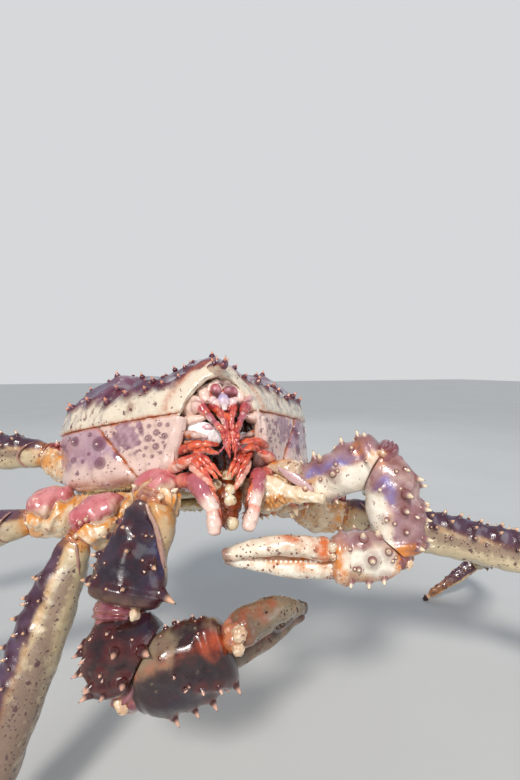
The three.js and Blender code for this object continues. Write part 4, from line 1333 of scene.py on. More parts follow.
def paint_segment(rod, paint, halo, side):
    """The masks of a segment, from its paint"""
    centre, half = paint["pale"]
    off = rod.apart(centre)
    edge = half + 7 * ripple(rod.points, 22, 7)
    pale = step(edge + 26, edge - 26, off)
    angle, spread, strength = paint["blue"]
    blue = strength * bell(rod.apart(angle), spread) * bell(rod.t - 0.5, 0.42)
    near = np.minimum(rod.t, 1 - rod.t) * rod.path.length
    rubbed = paint.get("rub", 0.8) * bell(near, 4.5) * (0.35 + 0.65 * pale)
    flush = rubbed + 0.55 * bell(off - half, 9) * pale
    stain = 0.15
    if "row" in paint:
        angle, spread, strength = paint["row"]
        stain = stain + strength * bell(rod.apart(angle * side), spread) * step(0.05, 0.15, rod.t)
    if "dirt" in paint:
        stain = stain + 0.7 * step(*paint["dirt"], rod.t)
    masks = {"pale": pale, "blue": blue, "flush": flush, "halo": halo, "stain": stain}
    for mask, t, angle, long, wide, strength in paint.get("patches", []):
        spot = np.hypot((rod.t - t) / long, rod.apart(angle) / wide)
        masks[mask] = masks[mask] + strength * step(1.3, 0.6, spot + 0.15 * ripple(rod.points, 9, 3))
    return {mask: np.clip(value, 0, 1) for mask, value in masks.items()}


def cord(name, rod, line, radius):
    """A thin ridge of brown-pink skin laid on a rod through places given by t and angle"""
    laid = []
    for t, angle in smooth_at(line, np.linspace(0, 1, 18)):
        root, out = rod.surface(t, angle)
        laid.append(root + out * (radius * 0.2 + 0.5))
    size = [radius * 0.5, radius, radius, radius * 0.5]
    thread = Rod(laid, size, size, out, 12, 70)
    thread.swell(0.15 * ripple(thread.points, 5, 3))
    piece = Piece(f"{name}_cord", "joint skin", "limb_root")
    piece.add(thread.mesh, thread.points, pale=0.4, flush=0.15, halo=0.2)
    return piece.finished()


def shell_segment(chain, i, part, form, finish, slot, around=56):
    name = f"{chain.name}_{part}"
    kind = name if name in PAINT else f"leg_{part}"
    rod = segment_rod(chain, i, part, form, around)
    random = np.random.default_rng(seed_of(name))
    is_leg = "leg" in chain.name
    spines = rows_on(rod, LEG_ROWS[part], random) if is_leg else single_spines(rod, SINGLES[name])
    spines += single_spines(rod, [
        (random.uniform(0.08, 0.94), random.uniform(-80, 80), random.uniform(0.7, 1.6))
        for _ in range(SMALL_ON_SEGMENT)
    ])
    ridge = 0.05 * rod.deep[1] * (np.cos(np.radians(rod.angle * 3)) - 0.3)
    near, far = rod.t * rod.path.length, (1 - rod.t) * rod.path.length
    rim = 1.1 * bell(far - 4, 2.2) - 1.6 * bell(near, 3) - 0.6 * bell(far - 8, 2)
    rod.swell(ridge + rim + 0.6 * ripple(rod.points, 18, seed_of(name)) + 0.15 * ripple(rod.points, 5, 9))
    if name == "right_claw_merus":
        border = np.interp(rod.t, *np.transpose(RIDGE))
        beyond = step(border + 2, border - 30, rod.angle) * step(-200, -150, rod.angle)
        rod.swell(5 * beyond * bell(rod.t - 0.1, 0.35))
    rise, halo = mounds(rod.points, spines)
    rod.swell(rise)
    if part == "dactyl":
        rod.points[:, 2] = np.maximum(rod.points[:, 2], 0)
    masks = paint_segment(rod, PAINT[kind], (0.6 if chain.name == "left_claw" else 1) * halo, chain.side)
    if name == "right_claw_merus":
        beyond = step(border + 4, border - 6, rod.angle)
        masks["pale"] = np.maximum(masks["pale"], beyond)
        masks["flush"] = np.maximum(masks["flush"], beyond * (0.6 * bell(rod.t, 0.16) + 0.1))
        masks["blue"] = masks["blue"] * (1 - beyond)
    if part == "dactyl":
        masks["tip"] = step(0.8, 0.97, rod.t)
        masks["flush"] = np.maximum(masks["flush"], 0.5 * step(0.3, 0.8, rod.t))
    piece = Piece(f"{name}_shell", finish, slot, [name])
    piece.add(rod.mesh, chain.clear(rod.points, i), **masks)
    piece.add_spines([
        (root + LIMB_LIFT * foot * unit(out), out, tall, LIMB_FOOT * foot)
        for root, out, tall, foot in spines
    ])
    line = CORDS.get(name, CORDS.get(kind))
    if line:
        flip = chain.side if name not in CORDS else 1
        cord(name, rod, [(t, angle * flip) for t, angle in line], SMALL_CORD if is_leg else LARGE_CORD)
    return rod, piece


# %% [markdown]
# ## Skin in the joints
# Between two shells of a limb a crab has soft folded skin, orange to pink, with a pale knob on each side of
# the joint. A ball a little smaller than the shells serves, because only its middle shows. A limb's first
# piece, the base, is soft too. It is one longer rod, with folds where it bends, and its upper side swells
# into a glossy dome between the wall's foot and the limb.

# %% Joint skin and limb bases
SKIN_SIZE = np.array([0.78, 0.84, 0.78])
SKIN_REACH = 0.24
KNOB_ANGLE = 84
ROOT_INSIDE = 27
DOMES = {
    "right_leg1": (0.72, 12, 8, 0.34, 66), "left_leg1": (0.7, -10, 7, 0.27, 60),
    "right_leg2": (0.8, 0, 9, 0.19, 64), "left_leg2": (0.78, 0, 8, 0.19, 60),
    "right_leg3": (0.74, 0, 7, 0.18, 56), "left_leg3": (0.74, 0, 7, 0.22, 56),
    "right_claw": (0.55, 12, 7, 0.52, 72), "left_claw": (0.3, -20, 5, 0.3, 50),
}
CLAW_BASE_SPINES = [(0.75, -175, 7), (0.88, 150, 6), (0.9, 60, 5), (0.86, -60, 5)]


def joint_skin(chain, i, part, form):
    """The soft skin before a part: a folded ball a little smaller than the shells, with its knobs"""
    wide, deep = form[part][0][0], form[part][1][0]
    bend = unit(chain.directions[i - 1] + chain.directions[i])
    reach = bend * SKIN_REACH * deep
    ends = [chain.joints[i] - reach, chain.joints[i] + reach]
    rod = Rod(ends, wide * SKIN_SIZE, deep * SKIN_SIZE, chain.back(part), 48, 48, (0.5, 0.5))
    uneven = ripple(rod.points, 9, i + 3)
    folds = np.sin(rod.t * math.pi * 4 + 0.9 * np.sin(rod.turn * 3 + i) + 1.2 * uneven)
    rod.swell((0.8 if i == 1 else 0.55) * folds + 0.4 * uneven)
    random = np.random.default_rng(seed_of(chain.name) + i)
    warm = 0.9 if i == 1 else bell(rod.apart(180), 70)
    flush = np.clip(0.8 * warm - 0.3 * folds + 0.2 * uneven, 0, 1)
    piece = Piece(f"{chain.name}_joint{i}_skin", "joint skin", "limb_root")
    # halo darkens the troughs of the folds: painted shade
    dark = 0.6 * step(-0.3, -0.9, folds)
    piece.add(rod.mesh, rod.points, pale=0.4 * warm, flush=flush, halo=dark, stain=0.4)
    for angle in (KNOB_ANGLE, -KNOB_ANGLE):
        root, out = rod.surface(0.5, angle)
        knob, _, _ = ball(24, 16)
        size = wide * random.uniform(0.15, 0.2)
        local = points_of(knob)
        local = local * (1 + 0.15 * ripple(local, 1.2, i))[:, None] * size
        along = (local @ bend)[:, None] * bend
        piece.add(knob, root - out * wide * 0.02 + local + 0.5 * along, pale=1.0, flush=0.25, stain=0.5)
    return piece.finished()


def limb_base(chain, form, rust):
    """A limb's short first segments: a collar, a folded joint, then a knobbly piece with a spiny shelf"""
    seed = seed_of(chain.name)
    rod = Rod(chain.joints[:2], *form, (0, 0, 1), 96, 150, (0.2, 0.2))
    t = rod.t
    uneven = ripple(rod.points, 12, seed)
    joint = bell(t - 0.52, 0.08)
    folds = np.sin(t * rod.path.length * 1.7 + 1.6 * np.sin(rod.turn * 2 + 1) + 1.5 * uneven)
    ridges = np.maximum(np.cos(rod.turn * 5 + 1.5 * uneven), 0) * step(0.6, 0.7, t) * step(1, 0.92, t)
    collar, knee, end = bell(t - 0.38, 0.08), bell(t - 0.72, 0.1), bell(t - 0.98, 0.05)
    shape = 1.6 * collar - 2.2 * joint + 1.8 * knee - 1.6 * end
    # the dome, with a crease round it
    at, angle, height, long, wide = DOMES[chain.name]
    away = np.hypot((t - at) / long, rod.apart(angle) / wide)
    away = away + 0.16 * uneven + 0.08 * ripple(rod.points, 30, 2)
    inside = step(1.06, 0.97, away)
    crease = bell(away - 1.07, 0.09)
    rise = height * np.sqrt(np.maximum(1 - away**2, 0))
    rough = 0.7 * folds * joint + 1.4 * ridges + 0.9 * uneven
    rod.swell((shape + rough) * (1 - 0.8 * inside) + rise - 1.6 * crease)
    points = chain.clear(rod.points, 0)
    outward = (points[:, 0] - STERNUM[0]) * chain.side
    points[:, 0] = STERNUM[0] + chain.side * np.maximum(outward, ROOT_INSIDE)
    # its paint: a rough skin outside the dome, a smooth one on it
    is_leg = "leg" in chain.name
    bare = 1 - inside
    shelf = step(42, 30, rod.apart(0)) * step(0.8, 0.86, t) * is_leg * bare
    flush = 0.7 * joint * (0.6 + 0.4 * folds) + 0.6 * bell(t - 0.95, 0.05) + 0.25 * step(0.3, 0.9, uneven)
    flush = np.maximum(flush * bare, 0.9 * bell(away - 1.22, 0.12) * bare)
    stain = rust + 0.35 * step(0.1, 0.8, -uneven) + rust * step(20, 70, rod.apart(0))
    skin = np.clip(0.5 * step(0.4, -0.8, uneven) + 0.7 * step(30, 70, rod.apart(angle)), 0, 1)
    # halo paints shade in the troughs of the joint's folds and in the crease round the dome; the shelf's
    # dark is the shell's own colour
    dark = np.maximum(0.45 * joint * step(-0.4, -0.9, folds) * bare, 0.85 * shelf)
    piece = Piece(f"{chain.name}_base_skin", "root skin", "limb_root", [f"{chain.name}_base"])
    piece.add(
        rod.mesh, points, pale=(1 - shelf) * bare + 0.5 * skin * inside,
        halo=np.maximum(dark, 0.6 * crease), flush=np.clip(flush, 0, 1) * (1 - shelf),
        stain=np.clip(stain, 0, 1) * bare,
    )
    if is_leg:
        piece.add_spines(rows_on(rod, LEG_ROWS["base"], np.random.default_rng(seed)))
    else:
        piece.add_spines(single_spines(rod, CLAW_BASE_SPINES), pale=1)
    return piece.finished()


# %% [markdown]
# ## Walking legs
# Six legs come from one loop. Each takes its base, then four shells, each with the skin of the joint that
# it grows from.

# %% Walking legs
def walking_leg(name):
    chain = CHAINS[name]
    limb_base(chain, LEG_FORM["base"], 0.2)
    for i, part in enumerate(LEG_PARTS, start=1):
        _, piece = shell_segment(chain, i, part, LEG_FORM[part], "leg shell", "leg_shell")
        piece.finished()
        joint_skin(chain, i, part, LEG_FORM)


for name in LEGS:
    walking_leg(name)
print("triangles so far:", sum(TALLY))

# %% [markdown]
# ## The claws
# The right claw is the heavy crusher, slate blue and maroon. The left is slimmer and paler. Both end in a
# fixed finger that is part of the palm and a movable one, with a row of teeth where they meet. The base of
# the left claw also shows a broad cream plate, a thin fold of skin above it, and the collar that its merus
# grows from. Those three are rods laid along lines in the frame of the solids.

# %% Claws
CLAW_FORM = {
    "right_claw": {
        "base": ([13, 15, 15], [12, 14, 14]), "merus": ([12, 15, 19, 21], [12, 16, 20, 20]),
        "carpus": ([19, 22, 22, 20], [17, 22, 23, 20]),
        "palm": ([15, 18, 19, 18, 16], [18, 23, 24, 23, 20]),
        "fixed": ([11, 10, 8, 6, 3.5], [11, 10, 8.5, 6.5, 4]),
        "finger": ([10, 10, 8, 6, 3.5], [9, 9.5, 8, 6, 4]),
    },
    "left_claw": {
        "base": ([13, 16, 16], [12, 15, 15]), "merus": ([12, 13, 14, 14], [12, 14, 15, 15]),
        "carpus": ([12, 15, 15, 13], [12, 16, 16, 13]), "palm": ([11, 12, 13, 13], [12, 14, 15, 13.5]),
        "fixed": ([8, 7.5, 6.5, 5, 3.2], [8, 7.2, 6, 4.6, 3]),
        "finger": ([7.5, 7, 6.3, 5.6, 4.2], [6, 6, 5.7, 5.2, 4]),
    },
}
# the right claw's carpus, palm and fingers use darker copies of its shell colours: partly real maroon and
# brown, partly painted shade
CLAW_FINISH = {
    "right_claw": {
        "merus": "right claw shell", "carpus": "dark claw shell", "palm": "dark claw shell",
        "finger": "dark finger shell",
    },
    "left_claw": {
        "merus": "left claw shell", "carpus": "left claw shell", "palm": "left claw shell",
        "finger": "finger shell",
    },
}
FIXED_ROOT = 0.45
FINGER_SPREAD = 0.45
TIP_APART = {"right_claw": 3, "left_claw": 1.6}
TEETH = {"fixed": 17, "finger": 12}
TOOTH_SIZE = 0.17
DARK_DOTS = {"fixed": 40, "finger": 60}
HINGE_BALLS = ((0.45, 0.1, 0.44, 0.3), (0.8, 0.35, 0.22, 1.0), (0.5, 0.56, 0.18, 1.0))


def finger_paths(chain, form, palm_rod):
    """The two fingers' paths from the palm's end, and the direction from the fixed to the movable one"""
    knuckle, tip = chain.joints[4:6]
    along, ahead = chain.directions[3:5]
    _, _, dorsal, side = palm_rod.frame_at(np.asarray(1.0))
    parting = unit(np.cross(tip - knuckle, side))
    if parting @ dorsal < 0:
        parting = -parting
    spread = parting * form["palm"][1][-1] * FINGER_SPREAD
    apart = parting * TIP_APART[chain.name]
    rooted = along * FIXED_ROOT * np.linalg.norm(knuckle - chain.joints[3])
    fixed_bend = knuckle + (tip - knuckle) * 0.35 - spread * 1.2
    moving_bend = knuckle + (tip - knuckle) * 0.5 + spread * 1.45
    fixed = [knuckle - rooted - spread, fixed_bend, tip - apart - ahead * 2]
    moving = [knuckle + along * 3 + spread, moving_bend, tip + apart - ahead * 1.5]
    return fixed, moving, parting


def finger_masks(rod, biting, warm, cream):
    """Cream with an orange root and biting edge and a dark tip"""
    tip = step(0.9, 0.99, rod.t)
    edge = bell(rod.apart(biting), 50) * step(0.98, 0.6, rod.t)
    root = bell(rod.t, 0.1) + 0.9 * bell(rod.apart(biting + 180), 40) * bell(rod.t - 0.28, 0.2)
    flush = np.clip(warm * edge + (0.25 + 0.8 * warm) * root + 0.15 * ripple(rod.points, 8, 2), 0, 1)
    stain = 0.25 + 0.4 * bell(rod.t, 0.4)
    return {"pale": cream - 0.2 * edge, "flush": flush, "halo": 0.85 * tip, "stain": stain}


def add_finger(piece, rod, kind, biting, teeth_angle, size, look, random):
    """A finger's shell, the row of blunt white teeth on its biting edge, and small dark points"""
    piece.add(rod.mesh, rod.points, **finger_masks(rod, biting, *look))
    for i in range(TEETH[kind]):
        share = i / TEETH[kind]
        root, out = rod.surface(0.3 + 0.64 * share, teeth_angle)
        tooth, _, _ = ball(12, 8)
        grown = TOOTH_SIZE * size * (1 - 0.45 * share)
        piece.add(tooth, root - out * grown * 0.3 + points_of(tooth) * grown, pale=1.0)
    dots = []
    for _ in range(DARK_DOTS[kind]):
        root, out = rod.surface(random.uniform(0.1, 0.95), random.uniform(-120, 120))
        dots.append((root - out * 0.2, out, 0.7, 0.8))
    piece.add(spines_mesh(dots, 6, 5)[0], halo=1.0)
    piece.finished()


def claw_hand(chain, form, finishes, look):
    """The palm with its fixed finger, the movable finger, and the hinge between them"""
    palm_rod, palm = shell_segment(chain, 3, "palm", form["palm"], finishes["palm"], "claw_shell", 64)
    fixed, moving, parting = finger_paths(chain, form, palm_rod)
    random = np.random.default_rng(seed_of(chain.name))
    back = chain.back("finger")
    low = Rod(fixed, *form["fixed"], back, 40, 90, (0.4, 0.6))
    low.swell(0.4 * ripple(low.points, 9, 3))
    add_finger(palm, low, "fixed", 0, -18 * chain.side, form["fixed"][0][0], look, random)
    high = Rod(moving, *form["finger"], back, 40, 90, (0.5, 0.6))
    high.swell(0.4 * ripple(high.points, 9, 8) + 0.8 * bell(high.t - 0.04, 0.05))
    finger = Piece(f"{chain.name}_finger_shell", finishes["finger"], "finger", [f"{chain.name}_finger"])
    add_finger(finger, high, "finger", 180, 180, form["finger"][0][0], look, random)
    hinge = Piece(f"{chain.name}_hinge", "joint skin", "limb_root")
    reach = form["palm"][1][-1]
    seen = palm_rod.frame_at(np.asarray(1.0))[3] * -chain.side
    for up, out, size, tone in HINGE_BALLS:
        mesh, _, _ = ball(36, 26)
        local = points_of(mesh)
        local = local * (1 + 0.08 * ripple(local, 0.9, 5) + 0.06 * ripple(local, 0.35, 6))[:, None]
        at = chain.joints[4] + parting * reach * up + seen * reach * out
        hinge.add(mesh, at + local * reach * size, pale=tone, flush=0.8 - 0.6 * tone, stain=0.5)
    hinge.finished()


def claw(name, look):
    """A whole claw; its look says how orange and how cream its fingers are"""
    chain, form, finishes = CHAINS[name], CLAW_FORM[name], CLAW_FINISH[name]
    limb_base(chain, form["base"], 0.15)
    for i, part in ((1, "merus"), (2, "carpus")):
        _, piece = shell_segment(chain, i, part, form[part], finishes[part], "claw_shell", 64)
        piece.finished()
    for i, part in enumerate(("merus", "carpus", "palm"), start=1):
        joint_skin(chain, i, part, form)
    claw_hand(chain, form, finishes, look)


PLATE_FACING = np.array([-0.325, -0.944, 0.052])
PLATE_LINE = [
    (47.4, -101.1, 197.8), (57.4, -110.7, 201.6), (68, -120.6, 203.4), (77.6, -130.3, 203.8),
    (87, -138.8, 204),
]
PLATE_SPINES = [
    (0.06, 78, 3), (0.14, 84, 4), (0.24, 86, 3.5), (0.36, 88, 4), (0.66, 92, 9), (0.82, 84, 3),
    (0.8, -80, 2.5),
]
MEMBRANE_LINE = [(65.5, -117.8, 219.9), (74.8, -126.6, 213.8), (82.9, -134, 207.7)]
MEMBRANE_SUNK = 1.8
COLLAR_LINE = [(61, -104.7, 218), (70.1, -112, 219.6), (78.8, -119.3, 217.1)]


def base_plate():
    """The broad plate on the left claw's base, with a rust-coloured sponge-like patch"""
    wide, deep = [12.3, 14.3, 12, 6.8, 5, 3.6], [5, 7, 7, 6, 5, 4]
    rod = Rod(PLATE_LINE, wide, deep, PLATE_FACING, 90, 110, (0.3, 0.7))
    coarse = ripple(rod.points, 11, 5)
    rod.swell(0.8 * coarse + 0.3 * ripple(rod.points, 4, 8))
    sponge = step(1.3, 0.6, np.hypot((rod.t - 0.48) / 0.2, rod.apart(24) / 28) + 0.25 * coarse)
    pitted = ripple(rod.points, 2.4, 3)
    rod.swell(0.7 * sponge * pitted)
    upper = bell(rod.apart(-90), 32) * step(0.45, 0.1, rod.t)
    edge = np.maximum(bell(rod.apart(90), 22), bell(rod.apart(-90), 20))
    piece = Piece("left_claw_base_plate", "root skin", "limb_root")
    flush = np.clip(0.8 * sponge * step(-0.6, 0.5, pitted) + 0.7 * upper, 0, 1)
    stain = np.clip(0.15 + sponge + 0.5 * edge + 0.3 * coarse, 0, 1)
    dark = 0.5 * sponge * step(0.1, 0.9, pitted)
    piece.add(rod.mesh, rod.points, pale=1.0, flush=flush, halo=dark, stain=stain)
    piece.add_spines(single_spines(rod, PLATE_SPINES), pale=1.0, stain=0.6)
    piece.finished()


def base_skin():
    """The fold of skin above the plate, and the collar that the left claw's merus grows from"""
    sunk = np.array(MEMBRANE_LINE) - MEMBRANE_SUNK * PLATE_FACING
    skin = Rod(sunk, [1.2, 3.4, 3.4, 1.4], [1, 1.6, 1.6, 1], PLATE_FACING, 24, 50)
    fold = Piece("left_claw_base_membrane", "side shell", "limb_root")
    fold.add(skin.mesh, skin.points, pale=0.45, stain=0.3)
    fold.finished()
    collar = Rod(COLLAR_LINE, [1.6, 4.0, 6.2, 7.5], [2, 4, 6, 7], PLATE_FACING, 48, 60)
    collar.swell(0.4 * ripple(collar.points, 7, 2))
    top = bell(collar.apart(-90), 40) * step(1, 0.3, collar.t)
    shell = Piece("left_claw_merus_root", "left claw shell", "claw_shell")
    shell.add(collar.mesh, collar.points, pale=0.9, flush=np.clip(1.2 * top, 0, 1), stain=0.8)
    shell.finished()


base_plate()
base_skin()
claw("right_claw", (0.3, 0.55))
claw("left_claw", (0.8, 1.0))
print("triangles so far:", sum(TALLY))

# %% [markdown]
# ## The face
# Under the gable of the carapace sit two glossy eyes on short stalks, folded antenna stems, red jointed
# feelers that meet and hang in points, white mandibles, orange-red palps, and two long outer mouthparts
# with white bulbs and bristles. Each part is a rod from a short list, written for the crab's left side
# and mirrored. On the left some are moved inward, because the animal doesn't hold both sides alike.

# %% Face parts
FACE_MIDDLE = 4.5
INWARD = {-1: 0, 1: 1}
HANGING_PALPS = ((26.5, 20.5, 2.0, 0.0), (23, 22, 1.8, 0.05), (25, 14.5, 2.6, 0.55), (20, 23, 1.5, 0.1))
MOUTH_BRISTLES = 170


def face_part(path, size, side, flat=1.0, around=24, rings=40, **paint):
    """A rod with its paint, its path given for the left side and measured from the face's middle"""
    points = placed([(FACE_MIDDLE + side * x, y, z) for x, y, z in path])
    wide = [s * flat for s in size]
    return Rod(points, wide, size, turned((0, -0.3, 1)), around, rings, (0.5, 0.6)), paint


def face_piece(name, slot, finish, parts, nodes=()):
    """A face piece from rods, each with its masks at evenly spaced places along it and its creases"""
    piece = Piece(name, finish, slot, nodes)
    for i, (rod, paint) in enumerate(parts):
        fold = 0 * rod.t
        if "creases" in paint:
            fold = step(0.75, 1, np.cos(rod.t * math.pi * 2 * paint["creases"]))
        rod.swell(0.25 * ripple(rod.points, 4, i + 1) - 0.5 * fold)
        masks = {mask: smooth_at(paint[mask], rod.t) for mask in MASKS if mask in paint}
        masks["halo"] = np.maximum(masks.get("halo", 0), 0.4 * fold)
        under = paint.get("under", 0) * step(40, 130, rod.apart(0) + 25 * ripple(rod.points, 5, 8))
        masks["pale"] = np.clip(masks.get("pale", 0) + under, 0, 1)
        if "edge" in paint:
            angle, strength = paint["edge"]
            near = strength * bell(rod.apart(angle), 52)
            masks["flush"] = np.maximum(masks.get("flush", 0), 0.7 * near)
            masks["halo"] = np.maximum(masks["halo"], 0.5 * near)
            masks["pale"] = masks["pale"] * (1 - near)
        piece.add(rod.mesh, rod.points, **masks)
    return piece.finished()


def eyes_finish():
    material, graph, shader = new_material("eye")
    place = graph.node("ShaderNodeTexCoord").outputs["Object"]
    low = graph.node("ShaderNodeAttribute", attribute_name="halo").outputs["Fac"]
    facet = graph.node("ShaderNodeTexVoronoi", {"Vector": place, "Scale": 3200.0}).outputs["Distance"]
    colour = graph.mix(graph.step(graph.noise(place, 220.0), 0.35, 0.7), tint("b85663"), tint("dc9aa2"))
    colour = graph.mix(low, colour, tint("64161c"))
    colour = graph.mix(graph.times(facet, 0.25), colour, tint("5a1422"))
    graph.feed(shader, {
        "Base Color": colour, "Roughness": 0.08, "Normal": graph.bump(facet, 0.08, 0.0002),
        "Coat Weight": 1.0, "Coat Roughness": 0.02,
    })
    return material


FINISHES["eye"] = eyes_finish()
EYE_TILT = np.array([0.25, -1, 0.05])
EYE_DEPTH = 4.0
EYES = {"right": ((-0.7, -76.4, 64.8), 3.8, 4.7, 0), "left": ((9.9, -76.4, 63.2), 5.4, 4.4, -28)}


def eye(side, label):
    """An eye: a glossy oval cornea on a short stalk, with swollen skin round it"""
    at, wide, tall, lean = EYES[label]
    axis = unit(turned(EYE_TILT * [side, 1, 1]))
    sin, cos = math.sin(math.radians(lean)), math.cos(math.radians(lean))
    up = unit(turned((-sin, 0, cos)))
    across = np.cross(axis, up)
    mesh, _, _ = ball(40, 30)
    x, y, z = points_of(mesh).T[:, :, None]
    piece = Piece(f"{label}_eye_cornea", "eye", "eye", [f"{label}_eye"])
    low = step(0.1, -0.7, y + 0.3 * x * side)[:, 0]
    piece.add(mesh, placed(at) + x * wide * across + y * tall * up + z * EYE_DEPTH * axis, halo=low)
    piece.finished()

    def ring(start, end, grow, sizes, **paint):
        turns = np.radians(np.linspace(start, end, 9))
        x, z = (wide + grow) * np.cos(turns), (tall + grow) * np.sin(turns)
        line = np.stack([at[0] + x * cos - z * sin, at[1] + 1.8 + 0 * x, at[2] + z * cos + x * sin], -1)
        return Rod(placed(line), sizes, sizes, turned((0, -0.3, 1)), 16, 60), paint

    stalk = face_part(
        [(4, -57, 63), (5, -67, 63.5), (5.2, -73, 64)], [3.4, 3.8, 4.4, 3.8], side, pale=[0.8, 0.8],
    )
    lid = ring(-25, 205, 0.6, [0.9, 1.3, 1.6, 1.3, 0.9], pale=[0.6, 0.95, 0.95, 0.6])
    bag = ring(
        -180, 0, 0.4, [0.9, 1.3, 1.4, 1.3, 0.9],
        pale=[0.3, 0.1, 0.3], flush=[0.3, 0.6, 0.3], halo=[0.2, 0.4, 0.2],
    )
    pad = face_part(
        [(2.2, -73, 69.8), (4, -75, 70.8), (6.5, -73, 70)], [1.8, 2.2, 1.8], side, pale=[0.8, 1.0, 0.8],
    )
    cheek_skin = face_part(
        [(11, -66, 68), (12.6, -72, 63.5), (12, -75, 57.5)], [3.2, 4.4, 3.4], side,
        pale=[0.9, 0.85, 0.9], stain=[0.3, 0.3],
    )
    face_piece(f"{label}_eye_stalk", "eye", "mouth skin", [stalk, lid, bag, pad, cheek_skin])


def antennae(side, label):
    """The stout stem of an antenna, and the short part of its feeler that shows"""
    stem = face_part(
        [(25, -60, 54), (19.5, -71, 54.5), (14.8, -76.5, 52.5)], [5.6, 7.2, 5.6, 3.6], side, 0.85,
        pale=[0.9, 0.75, 0.45], blue=[0.7, 0.8, 0.6], creases=3,
    )
    fold = face_part(
        [(24, -68, 60), (19, -75, 59), (14, -78, 56)], [2.4, 2.8, 2.4, 1.5], side,
        pale=[0.95, 0.6, 0.4], blue=[0.8, 0.8, 0.6],
    )
    plate = face_part(
        [(26, -62, 46), (20, -72, 45.5), (14, -76, 46.5)], [3.6, 4.0, 3.2, 2], side, 1.4,
        pale=[1.0, 1.0, 0.85], flush=[0.1, 0.0, 0.1], stain=[0.4, 0.2, 0.3],
    )
    face_piece(f"{label}_antenna_stem", "mouthparts", "mouth skin", [stem, fold, plate])
    red = {"pale": [0.1, 0.05, 0.2], "flush": [0.3, 0, 0.5]}
    upper = face_part(
        [(15.8, -75, 53.5), (12.6, -79, 48)], [3.9, 3.6, 2.9], side,
        **red, blue=[0.3, 0.6, 0.5], creases=1, under=0.3,
    )
    lower = face_part(
        [(12.4, -79.6, 47.4), (5.3, -86, 36.6)], [2.8, 2.3, 2.1, 2.6], side,
        pale=[0.2, 0.2, 0.2], flush=[0.1, 0, 0.5], blue=[0.9, 0.9, 0.4], creases=2, under=0.3,
    )
    knee = face_part([(5.2, -86.3, 36), (2.6, -87.4, 31)], [2.3, 2.0, 1.5], side, **red, creases=2)
    whip = face_part(
        [(2.8, -87.5, 31), (4.4, -88.8, 26), (8, -88, 22), (12, -86, 21)], [1.2, 1.0, 0.8, 0.5], side,
        pale=[0.2, 0.1], blue=[0.8, 0.4], creases=7,
    )
    feeler = [upper, lower, knee, whip]
    face_piece(f"{label}_antenna_feeler", "mouthparts", "mouth skin", feeler, [f"{label}_antenna"])


def antennules(side, label):
    """A feeler between the eyes: three joints, and the points that hang from the last"""
    first = face_part(
        [(6.5, -66, 56), (7, -75, 54), (5, -80, 49)], [3, 3.3, 2.9, 2.2], side,
        pale=[0.3, 0.1, 0.0], flush=[0.1, 0.2, 0.4], creases=2, under=0.3,
    )
    second = face_part(
        [(4.8, -80.5, 48.6), (2.6, -83.5, 42.5), (2.0, -85.5, 35)], [2.5, 2.1, 1.8, 1.6], side,
        pale=[0.1, 0.3, 0.1], flush=[0.4, 0.2, 0.4], blue=[0.3, 0.7, 0.5], creases=3, under=0.4,
    )
    third = face_part(
        [(1.2, -79, 47), (1.6, -83, 43), (1.4, -85, 37)], [1.8, 2.2, 1.8, 1.3], side,
        pale=[0.2, 0.1, 0.1], flush=[0.8, 0.5, 0.2],
    )
    points = []
    for x, length, start in ((0.2, 14, 35), (1.3, 19, 36), (2.6, 12, 33), (3.8, 8, 35)):
        points.append(face_part(
            [(0.6 + x, -86, start), (1.2 + x, -88, start - length / 2), (0.4 + x, -88, start - length)],
            [1.6, 1.7, 1.2, 0.4], side, 1.0, 14, 26,
            pale=[0.2, 0.05], flush=[0.3, 0.5, 0.2], blue=[0.2, 0.1], creases=3,
        ))
    parts = [first, second, third, *points]
    face_piece(f"{label}_antennule_feeler", "mouthparts", "mouth skin", parts, [f"{label}_antennule"])


def mandibles(side, label):
    """A mandible's white blade, its folds and its lilac palp; the left one lies deeper and lower"""
    deep, share = (11, 0.5) if INWARD[side] else (0, 1)
    low = 0.3 * deep

    def part(path, size, *form, drop=0.0, **paint):
        return face_part([(x, y + deep, z - drop) for x, y, z in path], size, side, *form, **paint)

    block = part(
        [(25, -63, 37), (15, -72, 35.5), (5, -75, 32.5)], share * np.array([6.4, 8.6, 8.2, 4.6]),
        0.62, 36, 50, drop=low, pale=[1, 1, 1], flush=[0.4, 0, 0, 0.1],
    )
    under = part(
        [(25, -64, 27), (17, -73, 25.5), (9, -76, 22.5)], [3, 3.8, 3.6, 2],
        pale=[1, 1, 0.8], flush=[0.3, 0, 0.3],
    )
    fold = part(
        [(28, -69, 37), (22, -77, 35), (14, -79, 33)], [2.2, 2.6, 2.2, 1],
        flush=[0.9, 0.8, 0.3], halo=[0.4, 0.2, 0.0],
    )
    crease = part(
        [(27, -68, 31), (17, -77, 29.5), (8, -79, 27)], [1.6, 1.3, 1.0],
        flush=[1, 0.9, 0.8], halo=[0.3, 0.1],
    )
    palp = part(
        [(17, -74, 39.5), (12, -77.6, 39.5), (8, -78, 38)], [1.3, 2.1, 1.9, 1.1], 1.2,
        drop=2 * low, pale=[0.3, 0.4], blue=[1, 1],
    )
    parts = [block, under, fold, crease, palp]
    face_piece(f"{label}_mandible_blade", "mandible", "mandible", parts, [f"{label}_mandible"])


